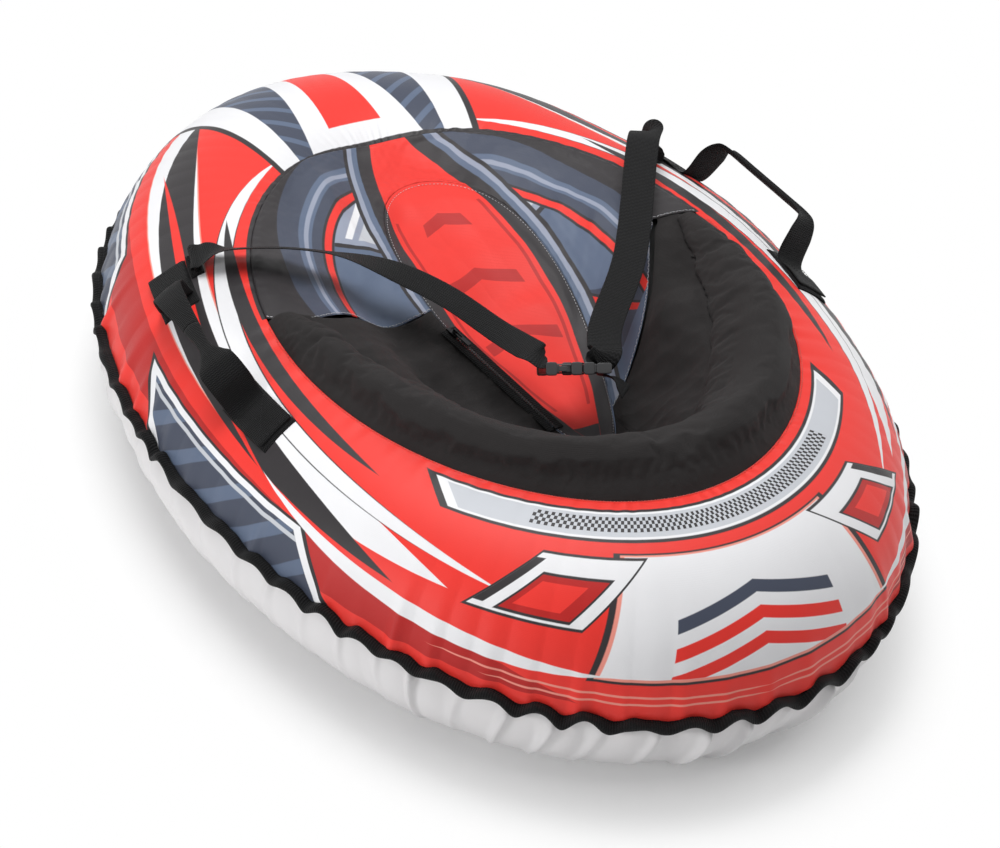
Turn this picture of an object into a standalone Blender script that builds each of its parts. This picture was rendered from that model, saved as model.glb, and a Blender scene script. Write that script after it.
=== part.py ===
"""A child's oval snow tube: an inner tube in a sewn cover, with a padded seat, a lap belt and two handles.

Metres, +Z up. The origin is on the ground under the middle of the tube and +Y is the front of the sledge.
Places on the tube are given by two angles: u runs round the plan (0 is the right side, 90 degrees the
front) and v runs round the tube's section (0 is its outermost line, 90 degrees its crest).
"""

import math

import bmesh
import bpy
import numpy as np
from mathutils import Matrix, Vector

MM = 0.001
UP = Vector((0.0, 0.0, 1.0))
LEFT = -1
RIGHT = 1

# The inflated tube: overall plan, section, and how far the ground flattens it
TUBE_WIDTH = 820 * MM
TUBE_LENGTH = 1134 * MM
SECTION_WIDTH = 306 * MM
SECTION_HEIGHT = 296 * MM
GROUND_SINK = 19 * MM

# Fabric and rubber thicknesses, and the running gaps between layers
TOP_THICKNESS = 1.2 * MM
BASE_THICKNESS = 1.5 * MM
RUBBER_THICKNESS = 1.2 * MM
SEAT_THICKNESS = 1.2 * MM
LAYER_GAP = 1.0 * MM
EDGE_GAP = 0.4 * MM
SEAM_GAP = 0.25 * MM
SEAM_TURN = math.radians(0.12)

# Section angles of the sewn seam and of the opening, and how they change towards the front and the sides
SEAM_MEAN_ANGLE = math.radians(2.1)
SEAM_FORWARD_ANGLE = math.radians(1)
SEAM_SIDE_ANGLE = math.radians(5.1)
OPENING_SIDE_ANGLE = math.radians(80)
OPENING_FORWARD_ANGLE = math.radians(13)
OPENING_END_ANGLE = math.radians(30)

# Edge binding: a folded tape that stands out from the seam in waves
BINDING_WIDTH = 13 * MM
BINDING_THICKNESS = 4.5 * MM
BINDING_WAVE = 5 * MM
BINDING_WAVE_COUNT = 60
BINDING_PHASE = math.radians(30)

# Seat: depths below the crest, how much its floor dishes, and the outline of its panel
SEAT_FRONT_DEPTH = 27 * MM
SEAT_REAR_DEPTH = 99 * MM
SEAT_DISH = 20 * MM
SEAT_BLEND = 20 * MM
SEAT_LIFT = 1.2 * MM
PANEL_SHIFT = 0.0305 * TUBE_WIDTH
PANEL_HALF_WIDTH = 0.1037 * TUBE_WIDTH
PANEL_TAPER = 0.0366 * TUBE_WIDTH
PANEL_HALF_LENGTH = 0.1984 * TUBE_LENGTH
PANEL_MIDDLE = 0.0265 * TUBE_LENGTH
FRONT_RUN_SHARE = 3.0

# Backrest bolster along the rear of the opening
BOLSTER_RISE = 60 * MM
BOLSTER_END_RISE = 5 * MM
BOLSTER_END_SPAN = math.radians(10)
BOLSTER_MIDDLE_SPAN = math.radians(50)
BULK_POWER = 0.6
CROWN_LEAN_POWER = 1.25
CROWN_POWER = 0.75
FOAM_EDGE_SHARE = 0.09
FOAM_REACH_SHARE = 0.93

# Webbing
HANDLE_WEBBING = 48 * MM
BELT_WEBBING = 38 * MM
WEBBING_THICKNESS = 1.6 * MM
HANDLE_THICKNESS = 3.2 * MM
HANDLE_LIFT = 46 * MM
HANDLE_PINCH = 7 * MM
PATCH_THICKNESS = 2.4 * MM
HANDLE_FRONT_ANGLE = math.radians(20)
HANDLE_REAR_ANGLE = math.radians(-9)
HANDLE_SECTION_ANGLE = math.radians(53)
PATCH_HALF_ANGLE = math.radians(5)
# A swinging strap's rounded end, as shares of its pinch, and a handle's way along, lift and width, as shares
END_DROP_SHARES = (0.97, 0.75, 0.4, 0.0)
HANDLE_PROFILE_SHARES = (
    (0.02, 0.35, 0.5),
    (0.07, 0.72, 0.8),
    (0.16, 0.95, 0.7),
    (0.3, 1.0, 0.62),
    (0.5, 1.0, 0.6),
)
BELT_ANCHOR_WIDTH = 16 * MM
BELT_ANCHOR_ANGLE = math.radians(23)
BELT_ANCHOR_LIFT = 9 * MM

# Side-release buckle for the lap belt
BUCKLE_WIDTH = 50 * MM
BUCKLE_THICKNESS = 11 * MM
BUCKLE_WALL = 1.8 * MM
HOUSING_LENGTH = 40 * MM
INSERT_LENGTH = 31 * MM
BUCKLE_SLOT = 4.5 * MM
BUCKLE_BAR = 4 * MM
GUIDE_LENGTH = 22 * MM
GUIDE_WIDTH = 7 * MM
PRONG_LENGTH = 25 * MM
PRONG_WIDTH = 5 * MM
PRONG_HEAD = 9 * MM
PRONG_HEAD_DEPTH = 7 * MM
BUCKLE_CLEARANCE = 0.5 * MM
TAIL_LENGTH = 38 * MM
TAIL_BEND_SHARE = 0.55

# Zip between the seat panel and the left gusset
ZIP_TAPE_WIDTH = 11 * MM
ZIP_TAPE_THICKNESS = 0.8 * MM
ZIP_COIL_WIDTH = 5 * MM
ZIP_COIL_HEIGHT = 2.2 * MM
ZIP_STOP_LENGTH = 4 * MM
ZIP_REAR_ANGLE = math.radians(-128)
ZIP_FRONT_ANGLE = math.radians(-178)
SLIDER_LENGTH = 11 * MM
SLIDER_WIDTH = 9 * MM
SLIDER_WALL = 1.2 * MM
SLIDER_CLEARANCE = 0.4 * MM
PULL_LENGTH = 24 * MM
PULL_WIDTH = 6 * MM
PULL_THICKNESS = 1.4 * MM

# Valve of the inner tube
VALVE_BASE_RADIUS = 16 * MM
VALVE_BASE_THICKNESS = 2 * MM
VALVE_NECK_RADIUS = 6 * MM
VALVE_NECK_LENGTH = 9 * MM
VALVE_STEM_RADIUS = 3.2 * MM
VALVE_BORE_RADIUS = 1.2 * MM
VALVE_STEM_LENGTH = 32 * MM
VALVE_HOLE_RADIUS = 5 * MM
VALVE_CAP_RADIUS = 5 * MM
VALVE_CAP_LENGTH = 10 * MM
VALVE_CAP_OVERLAP = 7 * MM
VALVE_GAP = 0.4 * MM

# Webbing loop at the front for a tow cord
TOW_WEBBING = 30 * MM
TOW_REACH = 42 * MM
TOW_HEIGHT = 15 * MM
TOW_PINCH = 5 * MM
TOW_SECTION_ANGLE = math.radians(-14)
TOW_HALF_SPREAD = 24 * MM
TOW_SPREAD_SHARE = 1.15
TOW_TURN = math.radians(160)

CUT_OVERRUN = 3 * MM

# Mesh densities
RING_STEPS = 60
TOP_ROWS = 10
BASE_ROWS = 6
TUBE_ROWS = 14
WAVE_STEPS = 3
ROUND_STEPS = 20
SEAT_ROWS = 7
PANEL_RINGS = 4
BOLSTER_ROWS = 10
PATCH_STEPS = 4
PATCH_ROWS = 2
TOW_PATCH_STEPS = 8
TOW_LOOP_STEPS = 8
ROUTE_STEPS = 24
CORE_SAMPLE_COUNT = 3600
ZIP_SAMPLES = 20
BASE_DISC_SHARES = (0.55,)

# Where the seat's seams meet the ring, counted in its steps from the right side
SIDE_SEAM_STEP = 1
REAR_SEAM_STEP = -9
REAR_STEP = -15
RIGHT_SEAM_LEAN_STEPS = -9
SEAM_LEAN_SHARE = 0.8
SEAM_BLEND_STEPS = 5

# Sizes worked out from those above
SECTION_HALF = SECTION_WIDTH / 2
SECTION_RISE = SECTION_HEIGHT / 2
CENTRE_HEIGHT = SECTION_RISE - GROUND_SINK
CREST_HEIGHT = CENTRE_HEIGHT + SECTION_RISE
CORE_X = TUBE_WIDTH / 2 - SECTION_HALF
CORE_Y = TUBE_LENGTH / 2 - SECTION_HALF
STEP_ANGLE = 2 * math.pi / RING_STEPS
BOLSTER_HALF_SPAN = (SIDE_SEAM_STEP - REAR_STEP) * STEP_ANGLE
GROUND_ANGLE = -math.asin(CENTRE_HEIGHT / SECTION_RISE)

# The belt's two routes and the buckle's place, as shares of the core's half width, half length and the crest
LEFT_ROUTE_SHARES = (
    (-1.06, 0.375, 1.060),
    (-0.80, 0.290, 1.085),
    (-0.53, 0.190, 1.055),
    (-0.30, 0.040, 0.995),
    (-0.165, -0.130, 0.945),
)
RIGHT_ROUTE_SHARES = (
    (1.14, 0.425, 1.080),
    (1.065, 0.385, 1.135),
    (0.95, 0.290, 1.125),
    (0.59, -0.03, 1.035),
    (0.275, -0.235, 0.975),
)
BUCKLE_PLACE_SHARE = (0.045, -0.335, 0.915)
BUCKLE_AXIS = Vector((0.93, -0.36, 0.0)).normalized()
BUCKLE_ACROSS_HINT = Vector((0.25, 0.75, -0.6)).normalized()

# Width directions of the hanging stretches, and where along a belt they begin, end and turn to the buckle's
LEFT_HANG_ACROSS = Vector((0.81, 0.58, 0.05))
RIGHT_HANG_ACROSS = Vector((0.85, -0.52, 0.05))
HANG_START_SHARE = 0.30
HANG_END_SHARE = 0.72
HANG_TWIST_SHARE = 0.22


def material(name, colour, roughness, metallic=0.0):
    """A plain Principled material with this colour, roughness and metallic value."""
    made = bpy.data.materials.new(name)
    made.use_nodes = True
    shader = made.node_tree.nodes["Principled BSDF"]
    shader.inputs["Base Color"].default_value = (*colour, 1.0)
    shader.inputs["Roughness"].default_value = roughness
    shader.inputs["Metallic"].default_value = metallic
    return made


def clear_scene():
    """Removes every object of the scene that the script starts in."""
    for obj in list(bpy.data.objects):
        bpy.data.objects.remove(obj)


def mesh_object(name, points, faces, look, smooth=True):
    """A closed mesh object with its faces turned outwards."""
    mesh = bpy.data.meshes.new(name)
    mesh.from_pydata([tuple(p) for p in points], [], faces)
    shape = bmesh.new()
    shape.from_mesh(mesh)
    bmesh.ops.recalc_face_normals(shape, faces=shape.faces)
    shape.to_mesh(mesh)
    shape.free()
    if smooth:
        mesh.shade_smooth()
        mesh.set_sharp_from_angle(angle=math.radians(35))
    mesh.materials.append(look)
    obj = bpy.data.objects.new(name, mesh)
    bpy.context.scene.collection.objects.link(obj)
    return obj


def ring_solid(name, sections, look):
    """A solid from closed sections of equal count that follow each other in a closed ring."""
    count = len(sections[0])
    points = [p for section in sections for p in section]
    faces = []
    for i in range(len(sections)):
        after = (i + 1) % len(sections)
        for j in range(count):
            k = (j + 1) % count
            faces.append((i * count + j, after * count + j, after * count + k, i * count + k))
    return mesh_object(name, points, faces, look)


def swept_solid(name, sections, look):
    """A solid from closed sections of equal count, closed by its first and last section."""
    count = len(sections[0])
    last = (len(sections) - 1) * count
    points = [p for section in sections for p in section]
    faces = [tuple(range(count)), tuple(last + j for j in reversed(range(count)))]
    for i in range(len(sections) - 1):
        for j in range(count):
            k = (j + 1) % count
            faces.append((i * count + j, (i + 1) * count + j, (i + 1) * count + k, i * count + k))
    return mesh_object(name, points, faces, look)


def sheet_solid(name, upper, lower, look):
    """A thin solid between two grids of points of the same shape."""
    rows, columns = len(upper), len(upper[0])
    points = [p for row in upper for p in row] + [p for row in lower for p in row]
    under = rows * columns

    def at(i, j):
        return i * columns + j

    faces = []
    for i in range(rows - 1):
        for j in range(columns - 1):
            a, b, c, d = at(i, j), at(i, j + 1), at(i + 1, j + 1), at(i + 1, j)
            for face in ((a, b, c), (a, c, d)):
                faces.append(face)
                faces.append(tuple(under + corner for corner in reversed(face)))
    border = [at(0, j) for j in range(columns)]
    border += [at(i, columns - 1) for i in range(1, rows)]
    border += [at(rows - 1, j) for j in reversed(range(columns - 1))]
    border += [at(i, 0) for i in reversed(range(1, rows - 1))]
    for a, b in zip(border, border[1:] + border[:1]):
        faces.append((a, b, under + b, under + a))
    return mesh_object(name, points, faces, look)


def box_object(name, low, high, look=None):
    """An axis-aligned box between two corners in its own frame."""
    size = Vector(high) - Vector(low)
    mesh = bpy.data.meshes.new(name)
    shape = bmesh.new()
    bmesh.ops.create_cube(shape, size=1.0)
    bmesh.ops.scale(shape, vec=size, verts=shape.verts)
    bmesh.ops.translate(shape, vec=(Vector(low) + Vector(high)) / 2, verts=shape.verts)
    shape.to_mesh(mesh)
    shape.free()
    if look:
        mesh.materials.append(look)
    obj = bpy.data.objects.new(name, mesh)
    bpy.context.scene.collection.objects.link(obj)
    return obj


def turned_object(name, profile, look, steps=ROUND_STEPS):
    """A solid of revolution about its own X axis from a closed profile of (along, radius) points."""
    sections = []
    for i in range(steps):
        angle = 2 * math.pi * i / steps
        spoke = Vector((0.0, math.cos(angle), math.sin(angle)))
        sections.append([Vector((along, 0.0, 0.0)) + spoke * radius for along, radius in profile])
    return ring_solid(name, sections, look)


def combine(obj, other, operation="DIFFERENCE"):
    """Adds a Boolean modifier and hides the other object as a helper."""
    step = obj.modifiers.new(f"{operation.lower()} {other.name}", "BOOLEAN")
    step.operation = operation
    step.solver = "EXACT"
    step.object = other
    other.hide_render = True
    other.display_type = "WIRE"


def soften(obj, width, segments=2):
    """Rounds an object's sharp edges."""
    step = obj.modifiers.new("rounded edges", "BEVEL")
    step.width = width
    step.segments = segments
    step.limit_method = "ANGLE"
    step.angle_limit = math.radians(50)


def placed(obj, matrix):
    """Puts an object, modelled in its own frame, where the matrix says."""
    obj.matrix_world = matrix
    return obj


def mix(a, b, share):
    return a + (b - a) * share


def smooth_share(share):
    """0 to 1 with level ends."""
    share = min(1.0, max(0.0, share))
    return share * share * (3 - 2 * share)


def ring_point(u, v, inset=0.0):
    """A point on the tube's skin, this far under it. The ground flattens the underside."""
    across = Vector((math.cos(u) / CORE_X, math.sin(u) / CORE_Y, 0.0)).normalized()
    centre = Vector((CORE_X * math.cos(u), CORE_Y * math.sin(u), 0.0))
    flat = centre + across * (SECTION_HALF - inset) * math.cos(v)
    height = CENTRE_HEIGHT + (SECTION_RISE - inset) * math.sin(v)
    return Vector((flat.x, flat.y, max(height, inset)))


def ring_normal(u, v):
    """The outward direction of the tube's skin."""
    across = Vector((math.cos(u) / CORE_X, math.sin(u) / CORE_Y, 0.0)).normalized()
    return (across * math.cos(v) * SECTION_RISE + UP * math.sin(v) * SECTION_HALF).normalized()


def ring_tangent(u):
    """The direction in which the ring runs at an angle of the plan, always towards the front."""
    along = Vector((-CORE_X * math.sin(u), CORE_Y * math.cos(u), 0.0)).normalized()
    return along if along.y > 0 else -along


def seam_angle(u):
    """The section angle of the sewn seam, a little higher at the sides than at the ends."""
    return SEAM_MEAN_ANGLE + SEAM_FORWARD_ANGLE * math.sin(u) + SEAM_SIDE_ANGLE * math.cos(2 * u)


def opening_angle(u):
    """The section angle at which the printed cover ends round the seat."""
    forward = math.sin(u)
    return OPENING_SIDE_ANGLE + OPENING_FORWARD_ANGLE * forward + OPENING_END_ANGLE * forward * forward


CORE_SAMPLES = np.linspace(0.0, 2 * math.pi, CORE_SAMPLE_COUNT, endpoint=False)
CORE_LINE = np.stack([CORE_X * np.cos(CORE_SAMPLES), CORE_Y * np.sin(CORE_SAMPLES)], axis=1)


def tube_height(x, y):
    """The height of the tube's upper skin over a point of the plan, or None beside the tube."""
    away = np.hypot(CORE_LINE[:, 0] - x, CORE_LINE[:, 1] - y).min()
    share = away / (SECTION_HALF + SEAT_LIFT)
    if share >= 1.0:
        return None
    return CENTRE_HEIGHT + (SECTION_RISE + SEAT_LIFT) * math.sqrt(1 - share * share)


def seat_height(x, y):
    """The height of the seat's fabric: over the tube's inner shoulder and sagging between its sides."""
    front = PANEL_MIDDLE + PANEL_HALF_LENGTH + SEAT_FRONT_DEPTH * FRONT_RUN_SHARE
    rear = PANEL_MIDDLE - PANEL_HALF_LENGTH
    depth = mix(SEAT_FRONT_DEPTH, SEAT_REAR_DEPTH, smooth_share((front - y) / (front - rear)))
    aside = min(1.0, abs(x - PANEL_SHIFT) / (PANEL_HALF_WIDTH + PANEL_TAPER))
    hanging = CREST_HEIGHT - depth + SEAT_DISH * aside * aside
    over = tube_height(x, y)
    if over is None:
        return hanging
    apart = (over - hanging) / SEAT_BLEND
    near = max(0.0, 1 - abs(apart))
    return max(over, hanging) + SEAT_BLEND * near * near / 4


def seat_point(x, y, under=0.0):
    """A point on the seat's fabric, or this far under it, square to it."""
    step = LAYER_GAP
    slope_x = (seat_height(x + step, y) - seat_height(x - step, y)) / (2 * step)
    slope_y = (seat_height(x, y + step) - seat_height(x, y - step)) / (2 * step)
    normal = Vector((-slope_x, -slope_y, 1.0)).normalized()
    return Vector((x, y, seat_height(x, y))) - normal * under


def panel_edge(u, outward=0.0):
    """The outline of the seat panel in plan, or a line this far outside it."""
    half = PANEL_HALF_WIDTH + PANEL_TAPER * math.sin(u) + outward
    x = PANEL_SHIFT + half * math.cos(u)
    y = PANEL_MIDDLE + (PANEL_HALF_LENGTH + outward) * math.sin(u)
    return Vector((x, y, 0.0))


def bolster_bulk(u):
    """How full the bolster is at an angle of the plan, from 0 at its ends to 1 behind the seat."""
    share = (u + math.pi / 2) / BOLSTER_HALF_SPAN
    return max(0.0, math.cos(math.pi / 2 * min(1.0, abs(share)))) ** BULK_POWER


def bolster_foot(u):
    """The section angle of the bolster's inner edge."""
    span = mix(BOLSTER_END_SPAN, BOLSTER_MIDDLE_SPAN, bolster_bulk(u))
    return opening_angle(u) + span


def bolster_point(u, share, drop=0.0):
    """A point on the bolster's skin, from its outer edge at share 0 to its inner edge at share 1."""
    v = mix(opening_angle(u) + 2 * SEAM_GAP / SECTION_HALF, bolster_foot(u), share)
    rise = mix(BOLSTER_END_RISE, BOLSTER_RISE, bolster_bulk(u))
    crown = max(0.0, math.sin(math.pi * share**CROWN_LEAN_POWER)) ** CROWN_POWER
    point = ring_point(u, v, drop)
    return point + UP * rise * crown


def make_top_cover(look):
    """The upper cover, from the seam over the crest to the seat opening."""
    sections = []
    for i in range(RING_STEPS):
        u = 2 * math.pi * i / RING_STEPS
        low = seam_angle(u) + EDGE_GAP / SECTION_HALF
        angles = [mix(low, opening_angle(u), j / TOP_ROWS) for j in range(TOP_ROWS + 1)]
        outer = [ring_point(u, v) for v in angles]
        inner = [ring_point(u, v, TOP_THICKNESS) for v in reversed(angles)]
        sections.append(outer + inner)
    return ring_solid("top_cover", sections, look)


def make_bottom_cover(look):
    """The slippery lower cover: a bowl from the seam down to the ground and flat across it."""
    points = []
    faces = []
    columns = RING_STEPS

    def rows(inset):
        made = []
        for j in range(BASE_ROWS + 1):
            row = []
            for i in range(columns):
                u = 2 * math.pi * i / columns
                high = seam_angle(u) - EDGE_GAP / SECTION_HALF
                row.append(ring_point(u, mix(high, GROUND_ANGLE, j / BASE_ROWS), inset))
            made.append(row)
        rim = made[-1]
        for share in BASE_DISC_SHARES:
            made.append([Vector((p.x * share, p.y * share, inset)) for p in rim])
        return made

    for side, inset in enumerate((0.0, BASE_THICKNESS)):
        start = len(points)
        grid = rows(inset)
        for row in grid:
            points.extend(row)
        for j in range(len(grid) - 1):
            for i in range(columns):
                k = (i + 1) % columns
                quad = (start + j * columns + i, start + j * columns + k)
                quad += (start + (j + 1) * columns + k, start + (j + 1) * columns + i)
                faces.append(quad if side else tuple(reversed(quad)))
        last = start + (len(grid) - 1) * columns
        middle = tuple(last + i for i in range(columns))
        faces.append(tuple(reversed(middle)) if side else middle)
    inner_rim = len(points) // 2
    for i in range(columns):
        k = (i + 1) % columns
        faces.append((i, k, inner_rim + k, inner_rim + i))
    return mesh_object("bottom_cover", points, faces, look)


def make_inner_tube(look):
    """The rubber ring inside the covers, with a wall and a hole for its valve."""
    sections = []
    for i in range(RING_STEPS):
        u = 2 * math.pi * i / RING_STEPS
        turns = [2 * math.pi * j / TUBE_ROWS for j in range(TUBE_ROWS)]
        sections.append([ring_point(u, v, BASE_THICKNESS + LAYER_GAP) for v in turns])
    tube = ring_solid("inner_tube", sections, look)
    wall = tube.modifiers.new("rubber wall", "SOLIDIFY")
    wall.thickness = RUBBER_THICKNESS
    wall.offset = -1.0
    drill = disc_solid("valve_hole_cutter", -CUT_OVERRUN, 2 * CUT_OVERRUN, VALVE_HOLE_RADIUS, None)
    return tube, drill


def valve_frame():
    """Where the valve stands: on the left inner side of the tube, pointing towards the middle."""
    seat = ring_point(math.pi, math.pi, BASE_THICKNESS + LAYER_GAP)
    return Matrix.Translation(seat)


def disc_solid(name, along, length, radius, look, steps=ROUND_STEPS):
    """A plain round bar along its own X axis."""
    sections = []
    for x in (along, along + length):
        ring = []
        for i in range(steps):
            angle = 2 * math.pi * i / steps
            ring.append(Vector((x, radius * math.cos(angle), radius * math.sin(angle))))
        sections.append(ring)
    return swept_solid(name, sections, look)


def make_valve(rubber, brass, plastic):
    """Valve base, stem and screw cap."""
    frame = valve_frame()
    start = LAYER_GAP
    bore = VALVE_STEM_RADIUS + VALVE_GAP
    base_end = start + VALVE_BASE_THICKNESS
    base = turned_object(
        "valve_base",
        [
            (start, bore),
            (start, VALVE_BASE_RADIUS),
            (base_end, VALVE_BASE_RADIUS - VALVE_BASE_THICKNESS),
            (base_end, VALVE_NECK_RADIUS),
            (base_end + VALVE_NECK_LENGTH, VALVE_STEM_RADIUS + VALVE_BASE_THICKNESS),
            (base_end + VALVE_NECK_LENGTH, bore),
        ],
        rubber,
    )
    tip = start + VALVE_STEM_LENGTH
    flange = VALVE_HOLE_RADIUS - VALVE_GAP
    stem = turned_object(
        "valve_stem",
        [
            (-RUBBER_THICKNESS, VALVE_BORE_RADIUS),
            (-RUBBER_THICKNESS, flange),
            (start - VALVE_GAP, flange),
            (start - VALVE_GAP, VALVE_STEM_RADIUS),
            (tip, VALVE_STEM_RADIUS),
            (tip, VALVE_BORE_RADIUS),
        ],
        brass,
    )
    mouth = tip - VALVE_CAP_OVERLAP
    inside = VALVE_STEM_RADIUS + VALVE_GAP
    cap = disc_solid("valve_cap", mouth, VALVE_CAP_LENGTH, VALVE_CAP_RADIUS, plastic)
    hollow = disc_solid(
        "valve_cap_cutter", mouth - CUT_OVERRUN, CUT_OVERRUN + VALVE_CAP_OVERLAP + VALVE_GAP, inside, None
    )
    for piece in (base, stem, cap, hollow):
        placed(piece, frame)
    combine(cap, hollow)
    return base, stem, cap


def make_binding(look):
    """The ruffled tape that wraps the seam of the two covers."""
    count = BINDING_WAVE_COUNT * WAVE_STEPS
    sections = []
    for i in range(count):
        u = 2 * math.pi * i / count
        wave = BINDING_WAVE * math.sin(2 * math.pi * i / WAVE_STEPS + BINDING_PHASE)
        root = ring_point(u, seam_angle(u))
        across = Vector((math.cos(u) / CORE_X, math.sin(u) / CORE_Y, 0.0)).normalized()
        near = root + across * LAYER_GAP + UP * wave / 2
        far = root + across * BINDING_WIDTH + UP * wave
        half = UP * BINDING_THICKNESS / 2
        sections.append([near - half, far - half, far + half, near + half])
    return ring_solid("edge_binding", sections, look)


def seat_patch(name, angles, inner, outer, lean, look):
    """A seat fabric between two plan outlines, over a range of plan angles. lean turns its inner rows."""
    upper, lower = [], []
    for u in angles:
        line = []
        for j in range(SEAT_ROWS + 1):
            share = j / SEAT_ROWS
            turned = u + lean(u) * max(0.0, 1 - share / SEAM_LEAN_SHARE)
            line.append(inner(turned).lerp(outer(turned, share), share))
        upper.append([seat_point(p.x, p.y) for p in line])
        lower.append([seat_point(p.x, p.y, SEAT_THICKNESS) for p in line])
    return sheet_solid(name, upper, lower, look)


def spread(low, high, count):
    return [mix(low, high, i / count) for i in range(count + 1)]


def plan_on_ring(u, v):
    point = ring_point(u, v, -SEAT_LIFT)
    return Vector((point.x, point.y, 0.0))


def make_seat_panel(angles, look):
    """The narrow panel down the middle of the seat, its outline at these plan angles."""
    rings = PANEL_RINGS
    centre = Vector((PANEL_SHIFT, PANEL_MIDDLE, 0.0))
    edge = [panel_edge(u, -SEAM_GAP) for u in angles]
    steps = len(edge)
    points = []
    for under in (0.0, SEAT_THICKNESS):
        for j in range(rings, 0, -1):
            ring = [centre.lerp(p, j / rings) for p in edge]
            points += [seat_point(p.x, p.y, under) for p in ring]
        points.append(seat_point(centre.x, centre.y, under))
    below = len(points) // 2
    faces = []
    for j in range(rings):
        for i in range(steps):
            k = (i + 1) % steps
            if j < rings - 1:
                face = (j * steps + i, j * steps + k, (j + 1) * steps + k, (j + 1) * steps + i)
            else:
                face = (j * steps + i, j * steps + k, rings * steps)
            faces.append(face)
            faces.append(tuple(below + f for f in reversed(face)))
    for i in range(steps):
        k = (i + 1) % steps
        faces.append((k, i, below + i, below + k))
    mesh_object("seat_panel", points, faces, look)


def make_seat(print_look, black_look):
    """The seat panel, the printed surround in front of it and the three black gussets behind it."""

    def inner(u):
        return panel_edge(u, SEAM_GAP)

    def rear_outer(u, share):
        behind = min(u, SIDE_SEAM_STEP * STEP_ANGLE - SEAM_TURN)
        span = bolster_foot(behind) - opening_angle(behind)
        return plan_on_ring(u, opening_angle(u) + span + 2 * SEAM_GAP / SECTION_HALF)

    def front_outer(u, share):
        """The opening's edge. Rows that lean past the side seam aim at the backrest's foot, as its gusset's do."""
        edge = plan_on_ring(u, opening_angle(u) + 2 * SEAM_GAP / SECTION_HALF)
        ahead = smooth_share((u / STEP_ANGLE - SIDE_SEAM_STEP) / SEAM_BLEND_STEPS)
        return edge if share == 1 else rear_outer(u, share).lerp(edge, ahead)

    def lean(u):
        """How far the inner end of a seam turns to the rear: all of it at the right side seam, none at the next."""
        step = round(u / STEP_ANGLE)
        if step > SIDE_SEAM_STEP:
            share = (left_seam - step) / (left_seam - SIDE_SEAM_STEP)
        else:
            share = (step - REAR_SEAM_STEP) / (SIDE_SEAM_STEP - REAR_SEAM_STEP)
        return RIGHT_SEAM_LEAN_STEPS * STEP_ANGLE * max(0.0, share)

    half_round = RING_STEPS // 2
    left_seam = half_round - SIDE_SEAM_STEP
    left_rear = -half_round - REAR_SEAM_STEP
    pieces = (
        ("cockpit_surround", SIDE_SEAM_STEP, left_seam, front_outer, print_look),
        ("gusset_right", REAR_SEAM_STEP, SIDE_SEAM_STEP, rear_outer, black_look),
        ("gusset_back", left_rear, REAR_SEAM_STEP, rear_outer, black_look),
        ("gusset_left", left_seam - RING_STEPS, left_rear, rear_outer, black_look),
    )
    outline = []
    for name, first, last, outer, look in pieces:
        angles = [i * STEP_ANGLE for i in range(first, last + 1)]
        angles[0] += SEAM_TURN
        angles[-1] -= SEAM_TURN
        outline += [(u + lean(u)) % (2 * math.pi) for u in angles]
        seat_patch(name, angles, inner, outer, lean, look)
    make_seat_panel(sorted(outline), print_look)


def bolster_angles(count, reach_share):
    """Plan angles along the bolster, over this share of its span."""
    reach = BOLSTER_HALF_SPAN * reach_share
    return spread(-math.pi / 2 - reach, -math.pi / 2 + reach, count)


def sunk(grid, distance):
    """A grid of points moved this far in, square to the surface that the grid makes."""
    made = []
    for i, row in enumerate(grid):
        above, below = grid[max(0, i - 1)], grid[min(len(grid) - 1, i + 1)]
        line = []
        for j, point in enumerate(row):
            along = below[j] - above[j]
            across = row[min(len(row) - 1, j + 1)] - row[max(0, j - 1)]
            normal = along.cross(across).normalized()
            if normal.z < 0:
                normal = -normal
            line.append(point - normal * distance)
        made.append(line)
    return made


def bolster_grid(reach_share, edge_share, steps, rows):
    """Points of the bolster's skin, leaving out this share at its two edges."""
    shares = spread(edge_share, 1 - edge_share, rows)
    return [[bolster_point(u, s) for s in shares] for u in bolster_angles(steps, reach_share)]


def make_bolster(black_look, foam_look):
    """The padded backrest: a foam crescent on the rubber tube and the black cover drawn over it."""
    rows = BOLSTER_ROWS
    steps = 2 * (SIDE_SEAM_STEP - REAR_STEP)
    skin = bolster_grid(1.0, 0.0, steps, rows)
    sheet_solid("backrest_cover", skin, sunk(skin, TOP_THICKNESS), black_look)
    tops = sunk(bolster_grid(FOAM_REACH_SHARE, FOAM_EDGE_SHARE, steps, rows), TOP_THICKNESS + LAYER_GAP)
    sections = []
    for u, top in zip(bolster_angles(steps, FOAM_REACH_SHARE), tops):
        base = []
        for share in spread(1 - FOAM_EDGE_SHARE, FOAM_EDGE_SHARE, rows // 2):
            base.append(ring_point(u, mix(opening_angle(u), bolster_foot(u), share), TOP_THICKNESS))
        sections.append(top + base)
    swept_solid("backrest_foam", sections, foam_look)


def skin_patch(name, angles, section_angles, lift, thickness, look):
    """A sewn patch that lies on the tube's skin."""
    upper = [[ring_point(u, v, -lift - thickness) for v in section_angles] for u in angles]
    lower = [[ring_point(u, v, -lift) for v in section_angles] for u in angles]
    return sheet_solid(name, upper, lower, look)


def smooth_route(points, count):
    """Evenly numbered points on a smooth curve through a route's own points."""
    padded = [points[0] * 2 - points[1], *points, points[-1] * 2 - points[-2]]
    made = []
    for i in range(count + 1):
        place = (len(points) - 1) * i / count
        k = min(int(place), len(points) - 2)
        t = place - k
        a, b, c, d = padded[k : k + 4]
        made.append(
            b
            + (c - a) * (t / 2)
            + (a * 2 - b * 5 + c * 4 - d) * (t * t / 2)
            + (b * 3 - a - c * 3 + d) * (t * t * t / 2)
        )
    return made


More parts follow.
